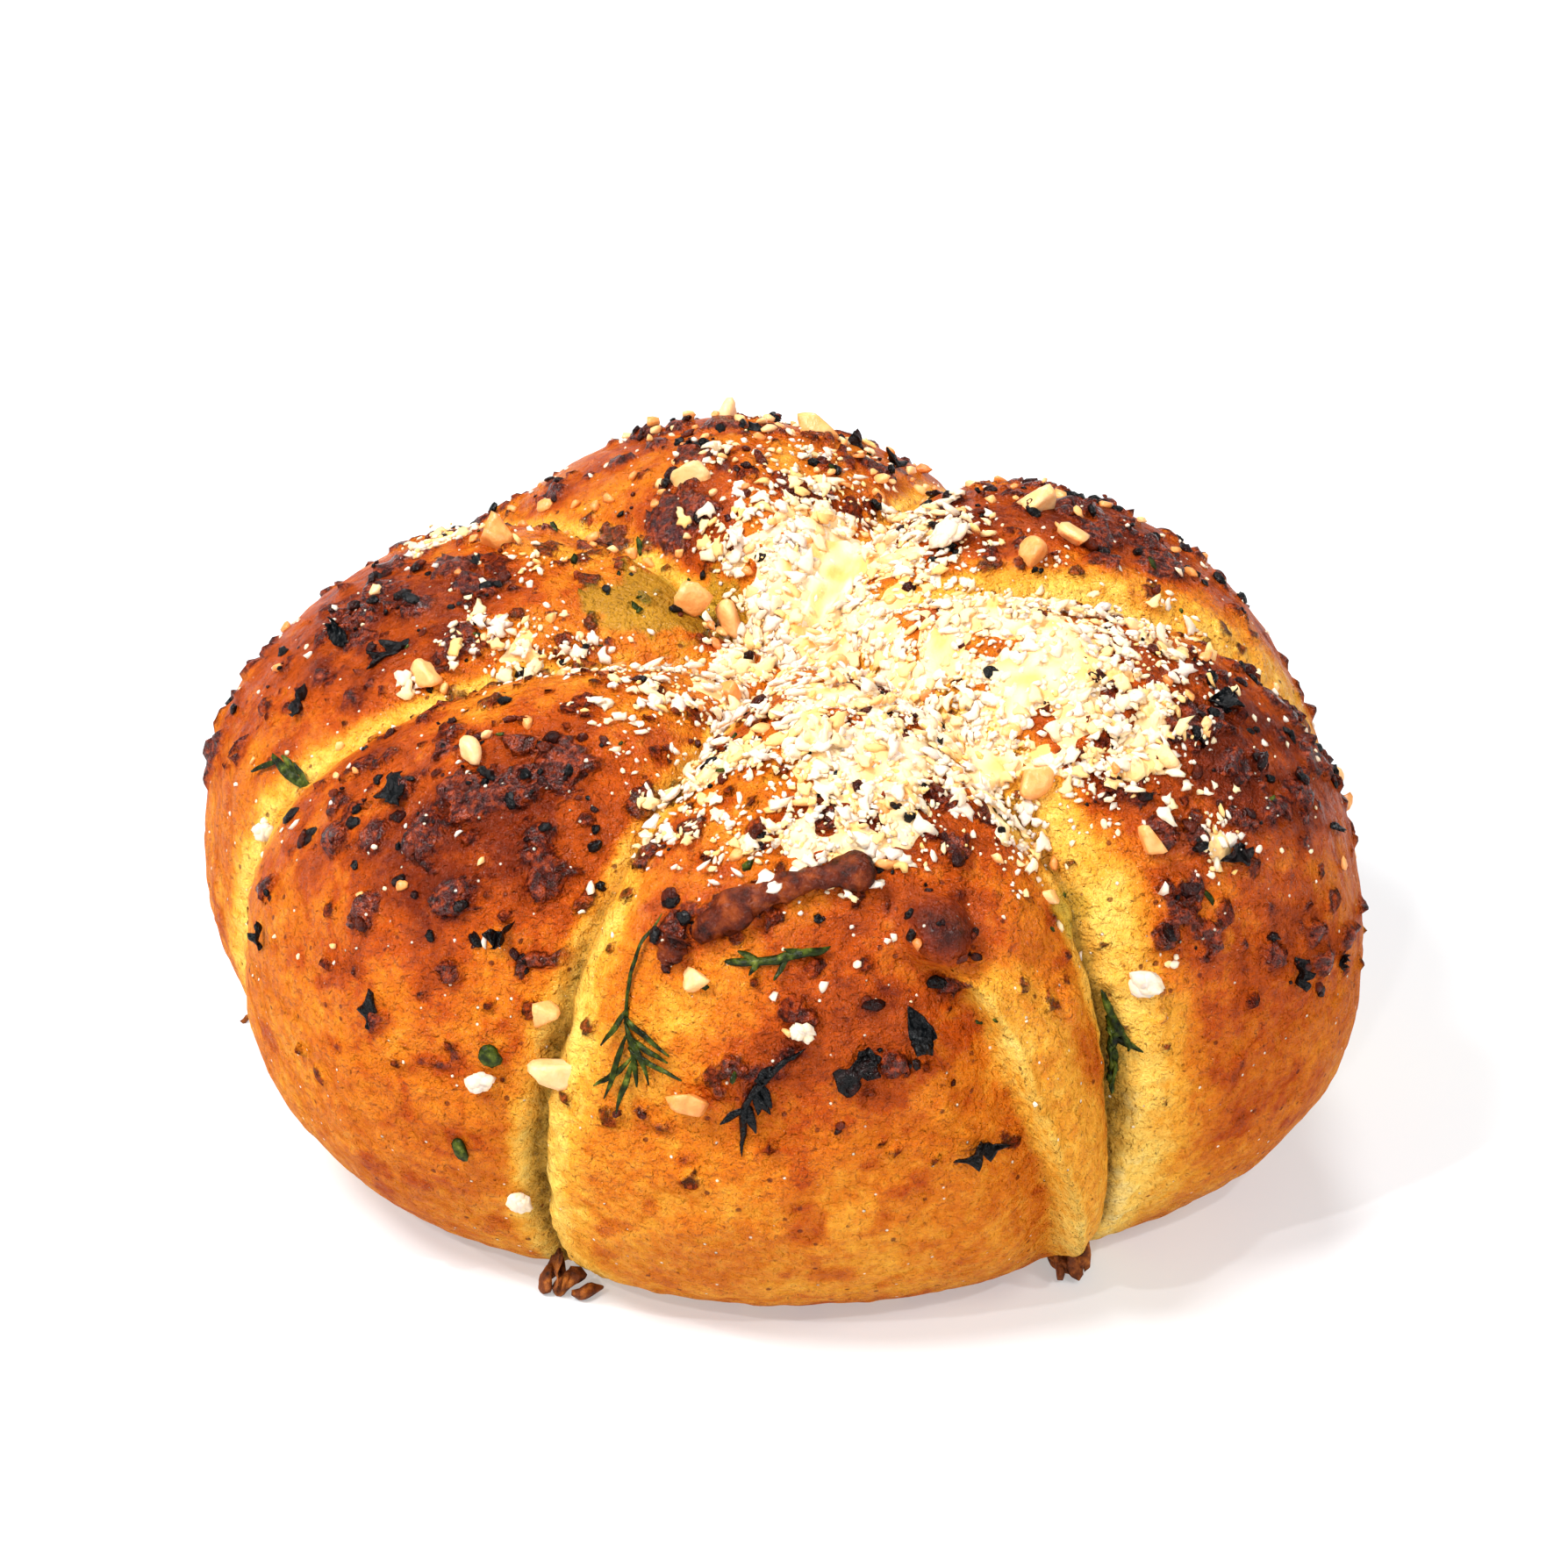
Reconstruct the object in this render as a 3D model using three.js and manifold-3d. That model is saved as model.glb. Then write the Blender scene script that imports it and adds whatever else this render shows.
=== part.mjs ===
// A round garlic and cheese bread roll, cut into six lobes before its second bake.
// Millimetres, +Z up. The origin is the centre of the flat resting face, below the widest section's middle.
// The loaf is one solid. Everything strewn on it is a piece of its own: cheese, garlic, onion, leaves, crumbs.
import * as THREE from "three";
import { mergeVertices } from "three/addons/utils/BufferGeometryUtils.js";
import Module from "manifold-3d";

const wasm = await Module();
wasm.setup();

// ---------------------------------------------------------------- driving dimensions

const GIRTH_RADIUS = 60; // mean reach of a lobe at the widest section
const GIRTH_HEIGHT = 26; // height of the widest section above the resting face
const CREST_HEIGHT = 65; // height that a lobe would reach over the axis if the middle didn't dip
const UNDERSIDE_DROP = 35; // how far the lower curve would run below the girth without the flat face
const UPPER_SQUARENESS = 2.25; // exponent of the upper curve, 2 is an ellipse
const LOWER_SQUARENESS = 2.4; // exponent of the lower curve

const KNOT_OFFSET = { x: 2.4, y: -3 }; // where the six cuts meet, from the axis
const DIP_DEPTH = 13; // how far the middle sinks below the crests
const DIP_RADIUS = 30; // reach of that dip around the knot
const RIM_CUT_DEPTH = 2.6; // depth of a cut at the girth
const SHOULDER_CUT_DEPTH = 4.2; // depth of a cut on the shoulder, its deepest stretch
const SHOULDER_ELEVATION = 45; // degrees above the girth's middle where a cut is deepest
const SHOULDER_SPREAD = 30; // degrees over which it gets shallower
const CUT_HALF_WIDTH = 4.2; // distance from the bottom of a cut to half its depth
const LOBE_CROWN = 2.6; // how far the skin of a lobe bulges between its two cuts
const CUT_START_RADIUS = 24; // the cuts and crowns fade in over this distance from the knot
const CUT_FOOT = [-50, 0]; // degrees over which they fade out under the roll
const FLARE_SPAN = [-30, 45]; // degrees between a cut's foot and its top azimuth

// The lobes in turn, anticlockwise from the right. A lobe starts at its own cut's azimuth in degrees and ends at
// the next one's, and flare swings the foot of that cut. reach and rise add to GIRTH_RADIUS and CREST_HEIGHT.
const LOBES = [
  { cut: 5, flare: 0, reach: 1, rise: 0 },
  { cut: 67, flare: 0, reach: 10, rise: 0 },
  { cut: 131, flare: 0, reach: 3, rise: -5 },
  { cut: 190, flare: 0, reach: -2.5, rise: -4 },
  { cut: 247, flare: -7, reach: -4.5, rise: 0 },
  { cut: 304, flare: 5, reach: 1, rise: 4 },
];

const GAP = 0.3; // clearance between a topping and what it lies on
const CRUST_DETAIL = 13; // subdivisions of the crust's icosahedron

const DRIFT_THICKNESS = 1.1; // the drift of grated cheese over the middle
const DRIFT_REACH = [46, 35, 34, 22, 17, 20, 25, 38]; // its reach from the knot, every 45 degrees from +X

const LEAF_THICKNESS = 0.6;
const STEM_RADIUS = 0.45;
const STRIP_THICKNESS = 2.6;

// ---------------------------------------------------------------- materials

const finish = (color, roughness) => new THREE.MeshStandardMaterial({ color, roughness, metalness: 0 });
const CRUST = finish(0xb8651f, 0.4);
const CHEESE = finish(0xf6ecd0, 0.8);
const GARLIC = finish(0xe2a144, 0.55);
const CHAR = finish(0x1f1a17, 0.45);
const HERB = finish(0x43521d, 0.6);
const ONION = finish(0x6b3014, 0.4);
const CRUMB = finish(0x5f3413, 0.7);

// ---------------------------------------------------------------- small tools

const radians = THREE.MathUtils.degToRad;
const degrees = THREE.MathUtils.radToDeg;
const { smoothstep } = THREE.MathUtils;
const MIDDLE = new THREE.Vector3(0, 0, GIRTH_HEIGHT); // every ray to the crust starts here

// Numbers between 0 and 1 that are the same on every run.
function seededRandom(seed) {
  let state = seed * 2654435761 + 97;
  return () => {
    state = (Math.imul(state ^ (state >>> 15), 2246822519) + 3266489917) >>> 0;
    return ((state ^ (state >>> 13)) >>> 0) / 4294967296;
  };
}

// A unit direction from the roll's middle.
function direction(azimuth, elevation) {
  const flat = Math.cos(radians(elevation));
  const turn = radians(azimuth);
  return new THREE.Vector3(flat * Math.cos(turn), flat * Math.sin(turn), Math.sin(radians(elevation)));
}

// The geometry with positions only and shared corners merged, so that it is one closed surface.
function closed(geometry) {
  const bare = geometry.clone();
  bare.deleteAttribute("normal");
  bare.deleteAttribute("uv");
  return mergeVertices(bare, 1e-4);
}

// Moves each corner of a closed geometry to where place(point) puts it.
function reshape(geometry, place) {
  const spots = geometry.getAttribute("position");
  const point = new THREE.Vector3();
  for (let i = 0; i < spots.count; i++) {
    point.fromBufferAttribute(spots, i);
    place(point, i);
    spots.setXYZ(i, point.x, point.y, point.z);
  }
  geometry.computeBoundingSphere();
  return geometry;
}

function toSolid(geometry) {
  return new wasm.Manifold(
    new wasm.Mesh({
      numProp: 3,
      vertProperties: new Float32Array(geometry.getAttribute("position").array),
      triVerts: new Uint32Array(geometry.index.array),
    }),
  );
}

function fromSolid(solid) {
  const { vertProperties, triVerts, numProp } = solid.getMesh();
  const corners = new Float32Array((vertProperties.length / numProp) * 3);
  for (let i = 0; i < corners.length / 3; i++) {
    corners.set(vertProperties.subarray(i * numProp, i * numProp + 3), i * 3);
  }
  return new THREE.BufferGeometry()
    .setAttribute("position", new THREE.BufferAttribute(corners, 3))
    .setIndex(new THREE.BufferAttribute(triVerts, 1));
}

const join = (geometries) => fromSolid(geometries.map(toSolid).reduce((whole, piece) => whole.add(piece)));

function named(name, geometry, material) {
  const mesh = new THREE.Mesh(geometry, material);
  mesh.name = name;
  return mesh;
}

// ---------------------------------------------------------------- the crust

// Which lobe an azimuth (radians) is in at an elevation (degrees), how far across it, from 0 at one cut to 1 at
// the next, and how wide the lobe is there, in radians.
function lobeAt(azimuth, elevation) {
  const low = 1 - smoothstep(elevation, ...FLARE_SPAN);
  const cuts = LOBES.map((lobe) => lobe.cut + lobe.flare * low);
  const turn = THREE.MathUtils.euclideanModulo(degrees(azimuth) - cuts[0], 360) + cuts[0];
  const index = cuts.findLastIndex((cut) => cut <= turn);
  const next = index + 1 < cuts.length ? cuts[index + 1] : cuts[0] + 360;
  return { index, across: (turn - cuts[index]) / (next - cuts[index]), width: radians(next - cuts[index]) };
}

// A lobe's own value in its middle, running smoothly into its neighbour's at the cut.
function blended(index, across, key) {
  const neighbour = (index + (across < 0.5 ? LOBES.length - 1 : 1)) % LOBES.length;
  const shared = (LOBES[index][key] + LOBES[neighbour][key]) / 2;
  return shared + (LOBES[index][key] - shared) * Math.sin(Math.PI * across) ** 2;
}

// The distance from the roll's middle to its skin along a unit direction.
function crustRadius(way) {
  const flat = Math.hypot(way.x, way.y);
  const above = way.z > 0;
  const elevation = degrees(Math.asin(THREE.MathUtils.clamp(way.z, -1, 1)));
  const pull = above ? (way.z * way.z) / GIRTH_RADIUS : 0;
  const x = way.x - KNOT_OFFSET.x * pull;
  const y = way.y - KNOT_OFFSET.y * pull;
  const fromKnot = Math.hypot(x, y) * GIRTH_RADIUS;
  const { index, across, width } = lobeAt(Math.atan2(y, x), elevation);
  const fade = smoothstep(fromKnot, 0, CUT_START_RADIUS);

  const reach = GIRTH_RADIUS + blended(index, across, "reach");
  const crest = CREST_HEIGHT + blended(index, across, "rise") * fade;
  const half = above ? crest - GIRTH_HEIGHT : UNDERSIDE_DROP;
  const power = above ? UPPER_SQUARENESS : LOWER_SQUARENESS;
  const shell = ((flat / reach) ** power + (Math.abs(way.z) / half) ** power) ** (-1 / power);
  const dip = above ? DIP_DEPTH * Math.exp(-((fromKnot / DIP_RADIUS) ** 2)) : 0;

  const shoulder = Math.exp(-(((elevation - SHOULDER_ELEVATION) / SHOULDER_SPREAD) ** 2));
  const depth = RIM_CUT_DEPTH + (SHOULDER_CUT_DEPTH - RIM_CUT_DEPTH) * shoulder;
  const fromCut = Math.min(across, 1 - across) * width * (above ? fromKnot : GIRTH_RADIUS * flat);
  const cut = depth / (1 + (fromCut / CUT_HALF_WIDTH) ** 2);
  const crown = LOBE_CROWN * Math.cos(Math.PI * across) ** 2;
  return shell - dip - (cut + crown) * fade * smoothstep(elevation, ...CUT_FOOT);
}

const ball = closed(new THREE.IcosahedronGeometry(1, CRUST_DETAIL));

// The ball blown up to the crust's shape, grown by a little more all over.
function crustShape(growth = 0) {
  return reshape(ball.clone(), (point) => {
    const way = point.clone().normalize();
    point.copy(MIDDLE).addScaledVector(way, crustRadius(way) + growth);
  });
}

// The loaf: the crust's shape cut off level, which leaves the flat face it rests on.
function loaf() {
  const side = 4 * GIRTH_RADIUS;
  const below = closed(new THREE.BoxGeometry(side, side, side).translate(0, 0, -side / 2));
  return fromSolid(toSolid(crustShape()).subtract(toSolid(below)));
}

// The drift's reach from the knot at an azimuth in radians.
function driftReach(azimuth) {
  const step = (2 * Math.PI) / DRIFT_REACH.length;
  const place = THREE.MathUtils.euclideanModulo(azimuth, 2 * Math.PI) / step;
  const from = Math.floor(place) % DRIFT_REACH.length;
  const to = (from + 1) % DRIFT_REACH.length;
  return THREE.MathUtils.lerp(DRIFT_REACH[from], DRIFT_REACH[to], smoothstep(place % 1, 0, 1));
}

// The grated cheese that lies in the dip: the crust's own facets there, as a sheet of even thickness.
function cheeseDrift() {
  const low = crustShape(GAP).getAttribute("position");
  const high = crustShape(GAP + DRIFT_THICKNESS).getAttribute("position");
  const ways = ball.getAttribute("position");
  const facets = [];
  for (let i = 0; i < ball.index.count; i += 3) {
    const corners = [0, 1, 2].map((k) => ball.index.getX(i + k));
    const centre = new THREE.Vector3();
    corners.forEach((corner) => centre.add(new THREE.Vector3().fromBufferAttribute(ways, corner)));
    centre.multiplyScalar(GIRTH_RADIUS / 3);
    const x = centre.x - KNOT_OFFSET.x;
    const y = centre.y - KNOT_OFFSET.y;
    if (centre.z > 0 && Math.hypot(x, y) < driftReach(Math.atan2(y, x))) facets.push(corners);
  }
  const spots = [];
  const faces = [];
  const put = (source, corner) => spots.push(source.getX(corner), source.getY(corner), source.getZ(corner));
  const slots = new Map();
  for (const corner of new Set(facets.flat())) {
    slots.set(corner, spots.length / 3);
    put(low, corner);
    put(high, corner);
  }
  const edges = new Set(facets.flatMap(([a, b, c]) => [`${a},${b}`, `${b},${c}`, `${c},${a}`]));
  for (const [a, b, c] of facets) {
    const [i, j, k] = [a, b, c].map((corner) => slots.get(corner));
    faces.push(i + 1, j + 1, k + 1, k, j, i);
    for (const [from, to] of [[a, b], [b, c], [c, a]]) {
      if (edges.has(`${to},${from}`)) continue;
      const [p, q] = [slots.get(from), slots.get(to)];
      faces.push(p, q, q + 1, p, q + 1, p + 1);
    }
  }
  return new THREE.BufferGeometry()
    .setAttribute("position", new THREE.Float32BufferAttribute(spots, 3))
    .setIndex(faces);
}

// ---------------------------------------------------------------- laying pieces on the roll

const bread = named("bread_roll", loaf(), CRUST);
const drift = named("grated_cheese", cheeseDrift(), CHEESE);
const caster = new THREE.Raycaster();

// How far the bread and the drift reach from the roll's middle along a unit direction, looking in from outside.
function skinDistance(way) {
  const outside = 3 * GIRTH_RADIUS;
  caster.set(MIDDLE.clone().addScaledVector(way, outside), way.clone().negate());
  return outside - caster.intersectObjects([bread, drift], false)[0].distance;
}

// The frame of a place on the roll: out from the middle, and two directions along the skin. The first points
// uphill at turn 0 and swings anticlockwise, seen from outside.
function placeFrame(azimuth, elevation, turn) {
  const out = direction(azimuth, elevation);
  const uphill = direction(azimuth, elevation + 90);
  const along = uphill.applyAxisAngle(out, radians(turn));
  const across = along.clone().applyAxisAngle(out, Math.PI / 2);
  return { out, along, across };
}

// The point of the skin that is the steps (x, y) away from a place.
function skinPoint({ out, along, across }, x, y, height = 0) {
  const distance = skinDistance(out);
  const way = out.clone().addScaledVector(along, x / distance).addScaledVector(across, y / distance).normalize();
  return way.clone().multiplyScalar(skinDistance(way) + height).add(MIDDLE);
}

// Lays a piece on the skin like a cloth. It is made flat on the plane z = 0, and its z is the height above the skin.
function drape(geometry, azimuth, elevation, turn) {
  const place = placeFrame(azimuth, elevation, turn);
  return reshape(geometry, (point) => point.copy(skinPoint(place, point.x, point.y, GAP + point.z)));
}

// The least distance, along rays from the middle, from a geometry's corners and facet centres to the skin.
function clearance(geometry) {
  const spots = geometry.getAttribute("position");
  const corner = (i) => new THREE.Vector3().fromBufferAttribute(spots, i);
  const samples = Array.from({ length: spots.count }, (_, i) => corner(i));
  for (let i = 0; i < geometry.index.count; i += 3) {
    const facet = [0, 1, 2].map((k) => corner(geometry.index.getX(i + k)));
    samples.push(facet[0].add(facet[1]).add(facet[2]).divideScalar(3));
  }
  return Math.min(...samples.map((sample) => {
    const way = sample.sub(MIDDLE);
    const distance = way.length();
    return distance - skinDistance(way.normalize());
  }));
}

// Moves a piece along a direction, in ever smaller passes, until its least clearance is the gap.
function pushClear(geometry, way, passes) {
  for (let pass = 0; pass < passes; pass++) {
    const step = way.clone().multiplyScalar(GAP - clearance(geometry));
    geometry.translate(step.x, step.y, step.z);
  }
  return geometry;
}

// Sets a stiff piece on the skin, tilted as the skin is there, and lifts it until its gap is free all over.
function rest(geometry, azimuth, elevation, turn) {
  const place = placeFrame(azimuth, elevation, turn);
  const spot = skinPoint(place, 0, 0);
  const reach = 1;
  const along = skinPoint(place, reach, 0).sub(skinPoint(place, -reach, 0)).normalize();
  const across = skinPoint(place, 0, reach).sub(skinPoint(place, 0, -reach)).normalize();
  const normal = new THREE.Vector3().crossVectors(along, across).normalize();
  const side = new THREE.Vector3().crossVectors(normal, along);
  geometry.applyMatrix4(new THREE.Matrix4().makeBasis(along, side, normal).setPosition(spot));
  return pushClear(geometry, place.out, 4);
}

// Puts a piece that lies on the table beside the roll: away mm further out than the closest that its gap allows.
function layBeside(geometry, azimuth, turn, away) {
  const outward = direction(azimuth, 0);
  const start = outward.clone().multiplyScalar(GIRTH_RADIUS * 0.75);
  geometry.rotateZ(radians(turn)).computeBoundingBox();
  geometry.translate(start.x, start.y, -geometry.boundingBox.min.z);
  pushClear(geometry, outward, 10);
  return geometry.translate(outward.x * away, outward.y * away, 0);
}

// ---------------------------------------------------------------- shapes of the toppings

// A chopped bit: a rounded box with uneven corners, flat side down.
function choppedBit(length, width, height, seed) {
  const random = seededRandom(seed);
  return reshape(closed(new THREE.IcosahedronGeometry(1, 1)), (point) => {
    const box = (point.x ** 4 + point.y ** 4 + point.z ** 4) ** -0.25;
    point.multiplyScalar(box * (0.86 + 0.2 * random()));
    point.set((point.x * length) / 2, (point.y * width) / 2, (Math.max(point.z, -0.8) + 0.8) * (height / 1.8));
  });
}

// A torn dry leaf: a pointed oval with a ragged edge, its ends and sides curled up.
function leafFlake(length, width, curl, seed) {
  const random = seededRandom(seed);
  const points = 14;
  const outline = new THREE.Shape();
  for (let i = 0; i < points; i++) {
    const turn = (i / points) * 2 * Math.PI;
    const ragged = 0.72 + 0.28 * random();
    const x = (length / 2) * Math.cos(turn);
    const y = (width / 2) * Math.sin(turn) * Math.abs(Math.sin(turn)) ** 0.4 * ragged;
    if (i === 0) outline.moveTo(x, y);
    else outline.lineTo(x, y);
  }
  const flat = new THREE.ExtrudeGeometry(outline, { depth: LEAF_THICKNESS, bevelEnabled: false });
  return reshape(closed(flat), (point) => {
    point.z += curl * ((2 * point.x) / length) ** 2 + 0.4 * curl * ((2 * point.y) / width) ** 2;
  });
}

// A thin stalk through the points [x, y], lying on the plane z = 0.
function stalk(points, radius = STEM_RADIUS) {
  const path = new THREE.CatmullRomCurve3(points.map(([x, y]) => new THREE.Vector3(x, y, radius)));
  const section = new THREE.Shape().absarc(0, 0, radius, 0, 2 * Math.PI);
  const steps = 4 * (points.length - 1);
  return closed(new THREE.ExtrudeGeometry(section, { extrudePath: path, steps, curveSegments: 3 }));
}

// A leaflet on a stalk's end at [x, y], pointing along heading degrees.
function leaflet(x, y, heading, length, width, seed) {
  const leaf = leafFlake(length, width, 0.2, seed).translate(length * 0.4, 0, 0.15);
  return leaf.rotateZ(radians(heading)).translate(x, y, 0);
}

// Parsley: a main stalk that forks into two ribs, each with narrow leaflets.
function parsleySprig() {
  return join([
    stalk([[7, -1], [2.5, -0.6], [-1.5, 0.4], [-5.5, 3.2]]),
    stalk([[1, -0.3], [-2.6, -1.6], [-5.2, -2.2]]),
    leaflet(-1.5, 0.8, 152, 3.4, 1.5, 11),
    leaflet(-3.6, 1.9, 196, 3, 1.5, 12),
    leaflet(-4.6, 2.6, 150, 3.2, 1.6, 13),
    leaflet(-3, -1.7, 236, 3, 1.5, 14),
    leaflet(-4.4, -2.1, 176, 3.4, 1.7, 15),
    leaflet(-4, -2, 262, 2.6, 1.4, 16),
  ]);
}

// A charred frond: three needles from one stalk.
function herbFrond() {
  return join([
    stalk([[5.4, -3.6], [2.4, -1.4], [-0.6, 0.4], [-4.6, 1.6]], 0.6),
    stalk([[3.2, -0.2], [0.6, 0.2], [-1.6, 1.4]], 0.5),
    leaflet(2, -1.2, 318, 4.2, 1.6, 21),
    leaflet(-0.6, 0.4, 62, 3.6, 1.6, 22),
    leaflet(-3.4, 1.2, 166, 3.4, 1.5, 23),
  ]);
}

// A thin herb that lies in a wave, with a few short leaflets.
function herbCurl(length, wave, seed) {
  const third = length / 3;
  return join([
    stalk([[-1.5 * third, 0], [-0.5 * third, wave], [0.5 * third, -wave], [1.5 * third, 0]]),
    leaflet(-0.5 * third, wave, 40, 2.8, 1.5, seed),
    leaflet(0.4 * third, -wave * 0.8, 325, 2.8, 1.4, seed + 1),
    leaflet(1.3 * third, 0, 15, 2.6, 1.5, seed + 2),
  ]);
}

// A fried onion strip: thick and lumpy at one end, a plain bar at the other.
function onionStrip(length, width) {
  const bar = new THREE.BoxGeometry(length, width, STRIP_THICKNESS, 12, 3, 2);
  return reshape(closed(bar.translate(0, 0, STRIP_THICKNESS / 2)), (point) => {
    const along = point.x / length + 0.5;
    const lump = 1 + 0.3 * Math.max(0, 0.5 - along) * (1 + Math.sin(along * 34));
    point.y = point.y * lump * (0.8 + 0.35 * (1 - along)) + 1.6 * Math.sin(along * 2.6) - 1.2;
    point.z *= lump * (0.85 + 0.15 * Math.cos((2 * point.y) / width));
  });
}

// ---------------------------------------------------------------- the toppings
// Places are [azimuth, elevation, turn] in degrees about the roll's middle, and sizes are in millimetres.

const GARLIC_BITS = [
  { size: [3.6, 2.8, 2.2], at: [98, 36, 20] },
  { size: [4.6, 3.2, 2.4], at: [86, 38, 70] },
  { size: [4.2, 3.2, 2.2], at: [111, 51, 40] },
  { size: [4.4, 3.4, 2.6], at: [148, 39, 30] },
  { size: [3.2, 2.6, 2.0], at: [186, 34, 0] },
  { size: [2.8, 2.3, 1.8], at: [219, 34, 60] },
  { size: [4.8, 2.4, 2.2], at: [148, 66, 60] },
  { size: [4.0, 2.4, 2.2], at: [123, 70, 110] },
  { size: [4.0, 2.0, 1.6], at: [239, 66, 80] },
  { size: [2.8, 2.4, 1.6], at: [292, 66, 30] },
  { size: [4.8, 3.6, 2.6], at: [36, 45, 40] },
  { size: [3.6, 2.4, 2.0], at: [17, 51, 70] },
  { size: [3.2, 2.8, 2.2], at: [22, 45, 15] },
  { size: [2.4, 2.0, 1.6], at: [324, 31, 20] },
  { size: [4.0, 2.4, 1.6], at: [316, 24, 35] },
  { size: [2.8, 2.3, 1.8], at: [261, 17.5, 50] },
  { size: [4.0, 3.2, 2.4], at: [260.5, 5, 80] },
  { size: [3.4, 3.2, 1.6], at: [242, 10, 10] },
  { size: [4.2, 3.8, 1.8], at: [245, 4, 40] },
  { size: [3.6, 2.8, 1.6], at: [309, 35, 90] },
];

const CHEESE_LUMPS = [
  { size: [2.9, 2.2, 1.8], at: [239, -14, 20] },
  { size: [3.2, 2.0, 1.6], at: [237, 2, 80] },
  { size: [3.2, 2.8, 2.2], at: [311, 11, 10] },
  { size: [2.4, 2.0, 1.6], at: [272, 13, 60] },
  { size: [2.8, 1.7, 1.4], at: [189, 10, 0] },
  { size: [3.8, 3.0, 2.4], at: [31, 59, 70] },
];

const CHARRED_LEAVES = [
  { size: [6.0, 4.2], curl: 1.0, at: [213, 27, 70] },
  { size: [3.8, 3.0], curl: 0.8, at: [224, 7, 20] },
  { size: [3.2, 1.9], curl: 0.5, at: [204, 6, 15] },
  { size: [3.4, 1.8], curl: 0.5, at: [236.5, 18, 160] },
  { size: [5.2, 2.4], curl: 0.8, at: [179, 32, 20] },
  { size: [4.2, 2.2], curl: 0.7, at: [172, 28, 100] },
  { size: [5.0, 2.4], curl: 0.8, at: [180, 22, 60] },
  { size: [4.6, 2.6], curl: 0.9, at: [106, 46, 70] },
  { size: [3.6, 2.0], curl: 0.6, at: [80, 36, 80] },
  { size: [3.8, 2.4], curl: 0.8, at: [73, 36, 30] },
  { size: [4.6, 3.2], curl: 0.9, at: [337, 32, 60] },
  { size: [4.4, 3.6], curl: 1.0, at: [324, 20, 80] },
  { size: [3.6, 1.9], curl: 0.5, at: [328, 6, 10] },
  { size: [3.2, 2.2], curl: 0.6, at: [335, 4, 20] },
  { size: [3.4, 2.2], curl: 0.6, at: [342, 15, 70] },
  { size: [5.2, 3.0], curl: 1.0, at: [284, 12, 25] },
  { size: [5.4, 4.2], curl: 1.4, at: [277.5, 8.5, 150] },
  { size: [5.6, 3.0], curl: 0.9, at: [290, -2, 95] },
];

// Each kind of topping gives its own named pieces, one mesh each.
function strewn(name, list, material, lay, shape) {
  return list.map((piece, i) => {
    const number = String(i + 1).padStart(2, "0");
    return named(`${name}_${number}`, lay(shape(piece, i), ...piece.at), material);
  });
}

const garlic = strewn("garlic_bit", GARLIC_BITS, GARLIC, rest, ({ size }, i) => choppedBit(...size, 30 + i));
const lumps = strewn("cheese_lump", CHEESE_LUMPS, CHEESE, rest, ({ size }, i) => choppedBit(...size, 60 + i));
const charred = strewn("charred_leaf", CHARRED_LEAVES, CHAR, drape, ({ size, curl }, i) => (
  leafFlake(...size, curl, 80 + i)
));

const herbs = [
  named("parsley_sprig", drape(parsleySprig(), 253, 16, 0), HERB),
  named("herb_frond", drape(herbFrond(), 267.5, 6, 0), CHAR),
  named("herb_strip", drape(herbCurl(9, 0.5, 31), 268.5, 20, 285), HERB),
  named("herb_curl_left", drape(herbCurl(8, 0.9, 41), 189, 17, 290), HERB),
  named("herb_curl_right", drape(herbCurl(10, 0.8, 51), 308, 4, 12), HERB),
  named("herb_bit_1", rest(choppedBit(2.8, 2.2, 1.2, 71), 237.5, 5, 30), HERB),
  named("herb_bit_2", rest(choppedBit(2.8, 1.8, 1.2, 72), 234, -7, 10), HERB),
];

const onion = [
  named("onion_strip", drape(onionStrip(18, 4), 270, 27, 286), ONION),
  named("onion_bit", rest(choppedBit(3, 2.8, 2.4, 73), 258, 20, 0), ONION),
];

const crumbs = [
  named("crumb_1", layBeside(choppedBit(4.6, 3.2, 2.6, 74), 240, 40, 0), CRUMB),
  named("crumb_2", layBeside(choppedBit(4.4, 2.8, 3.4, 75), 309, 60, 0), CRUMB),
  named("crumb_3", layBeside(choppedBit(4.2, 3.4, 3.2, 76), 350, 20, 0), CRUMB),
  named("fallen_leaf", layBeside(leafFlake(6, 3, 1.4, 77), 164, 30, 5), CRUMB),
];

// ---------------------------------------------------------------- the whole roll

const toppings = new THREE.Group();
toppings.add(drift, ...lumps, ...garlic, ...charred, ...herbs, ...onion, ...crumbs);
const roll = new THREE.Group();
roll.add(bread, toppings);
roll.traverse((piece) => piece.isMesh && piece.geometry.computeVertexNormals());

export default roll;
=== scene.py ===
"""The looks of a round garlic and cheese bread roll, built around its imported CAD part.

Lengths are in millimetres until a mesh is made in metres, in the CAD part's own frame: +Z up, -Y towards the
camera, and the origin at the middle of the flat face that the roll rests on.
A place on the roll is an azimuth and an elevation in degrees, seen from the roll's middle.
"""

import itertools
import math

import bmesh
import bpy
import numpy as np
from mathutils import Matrix, Vector
from mathutils.kdtree import KDTree


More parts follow.
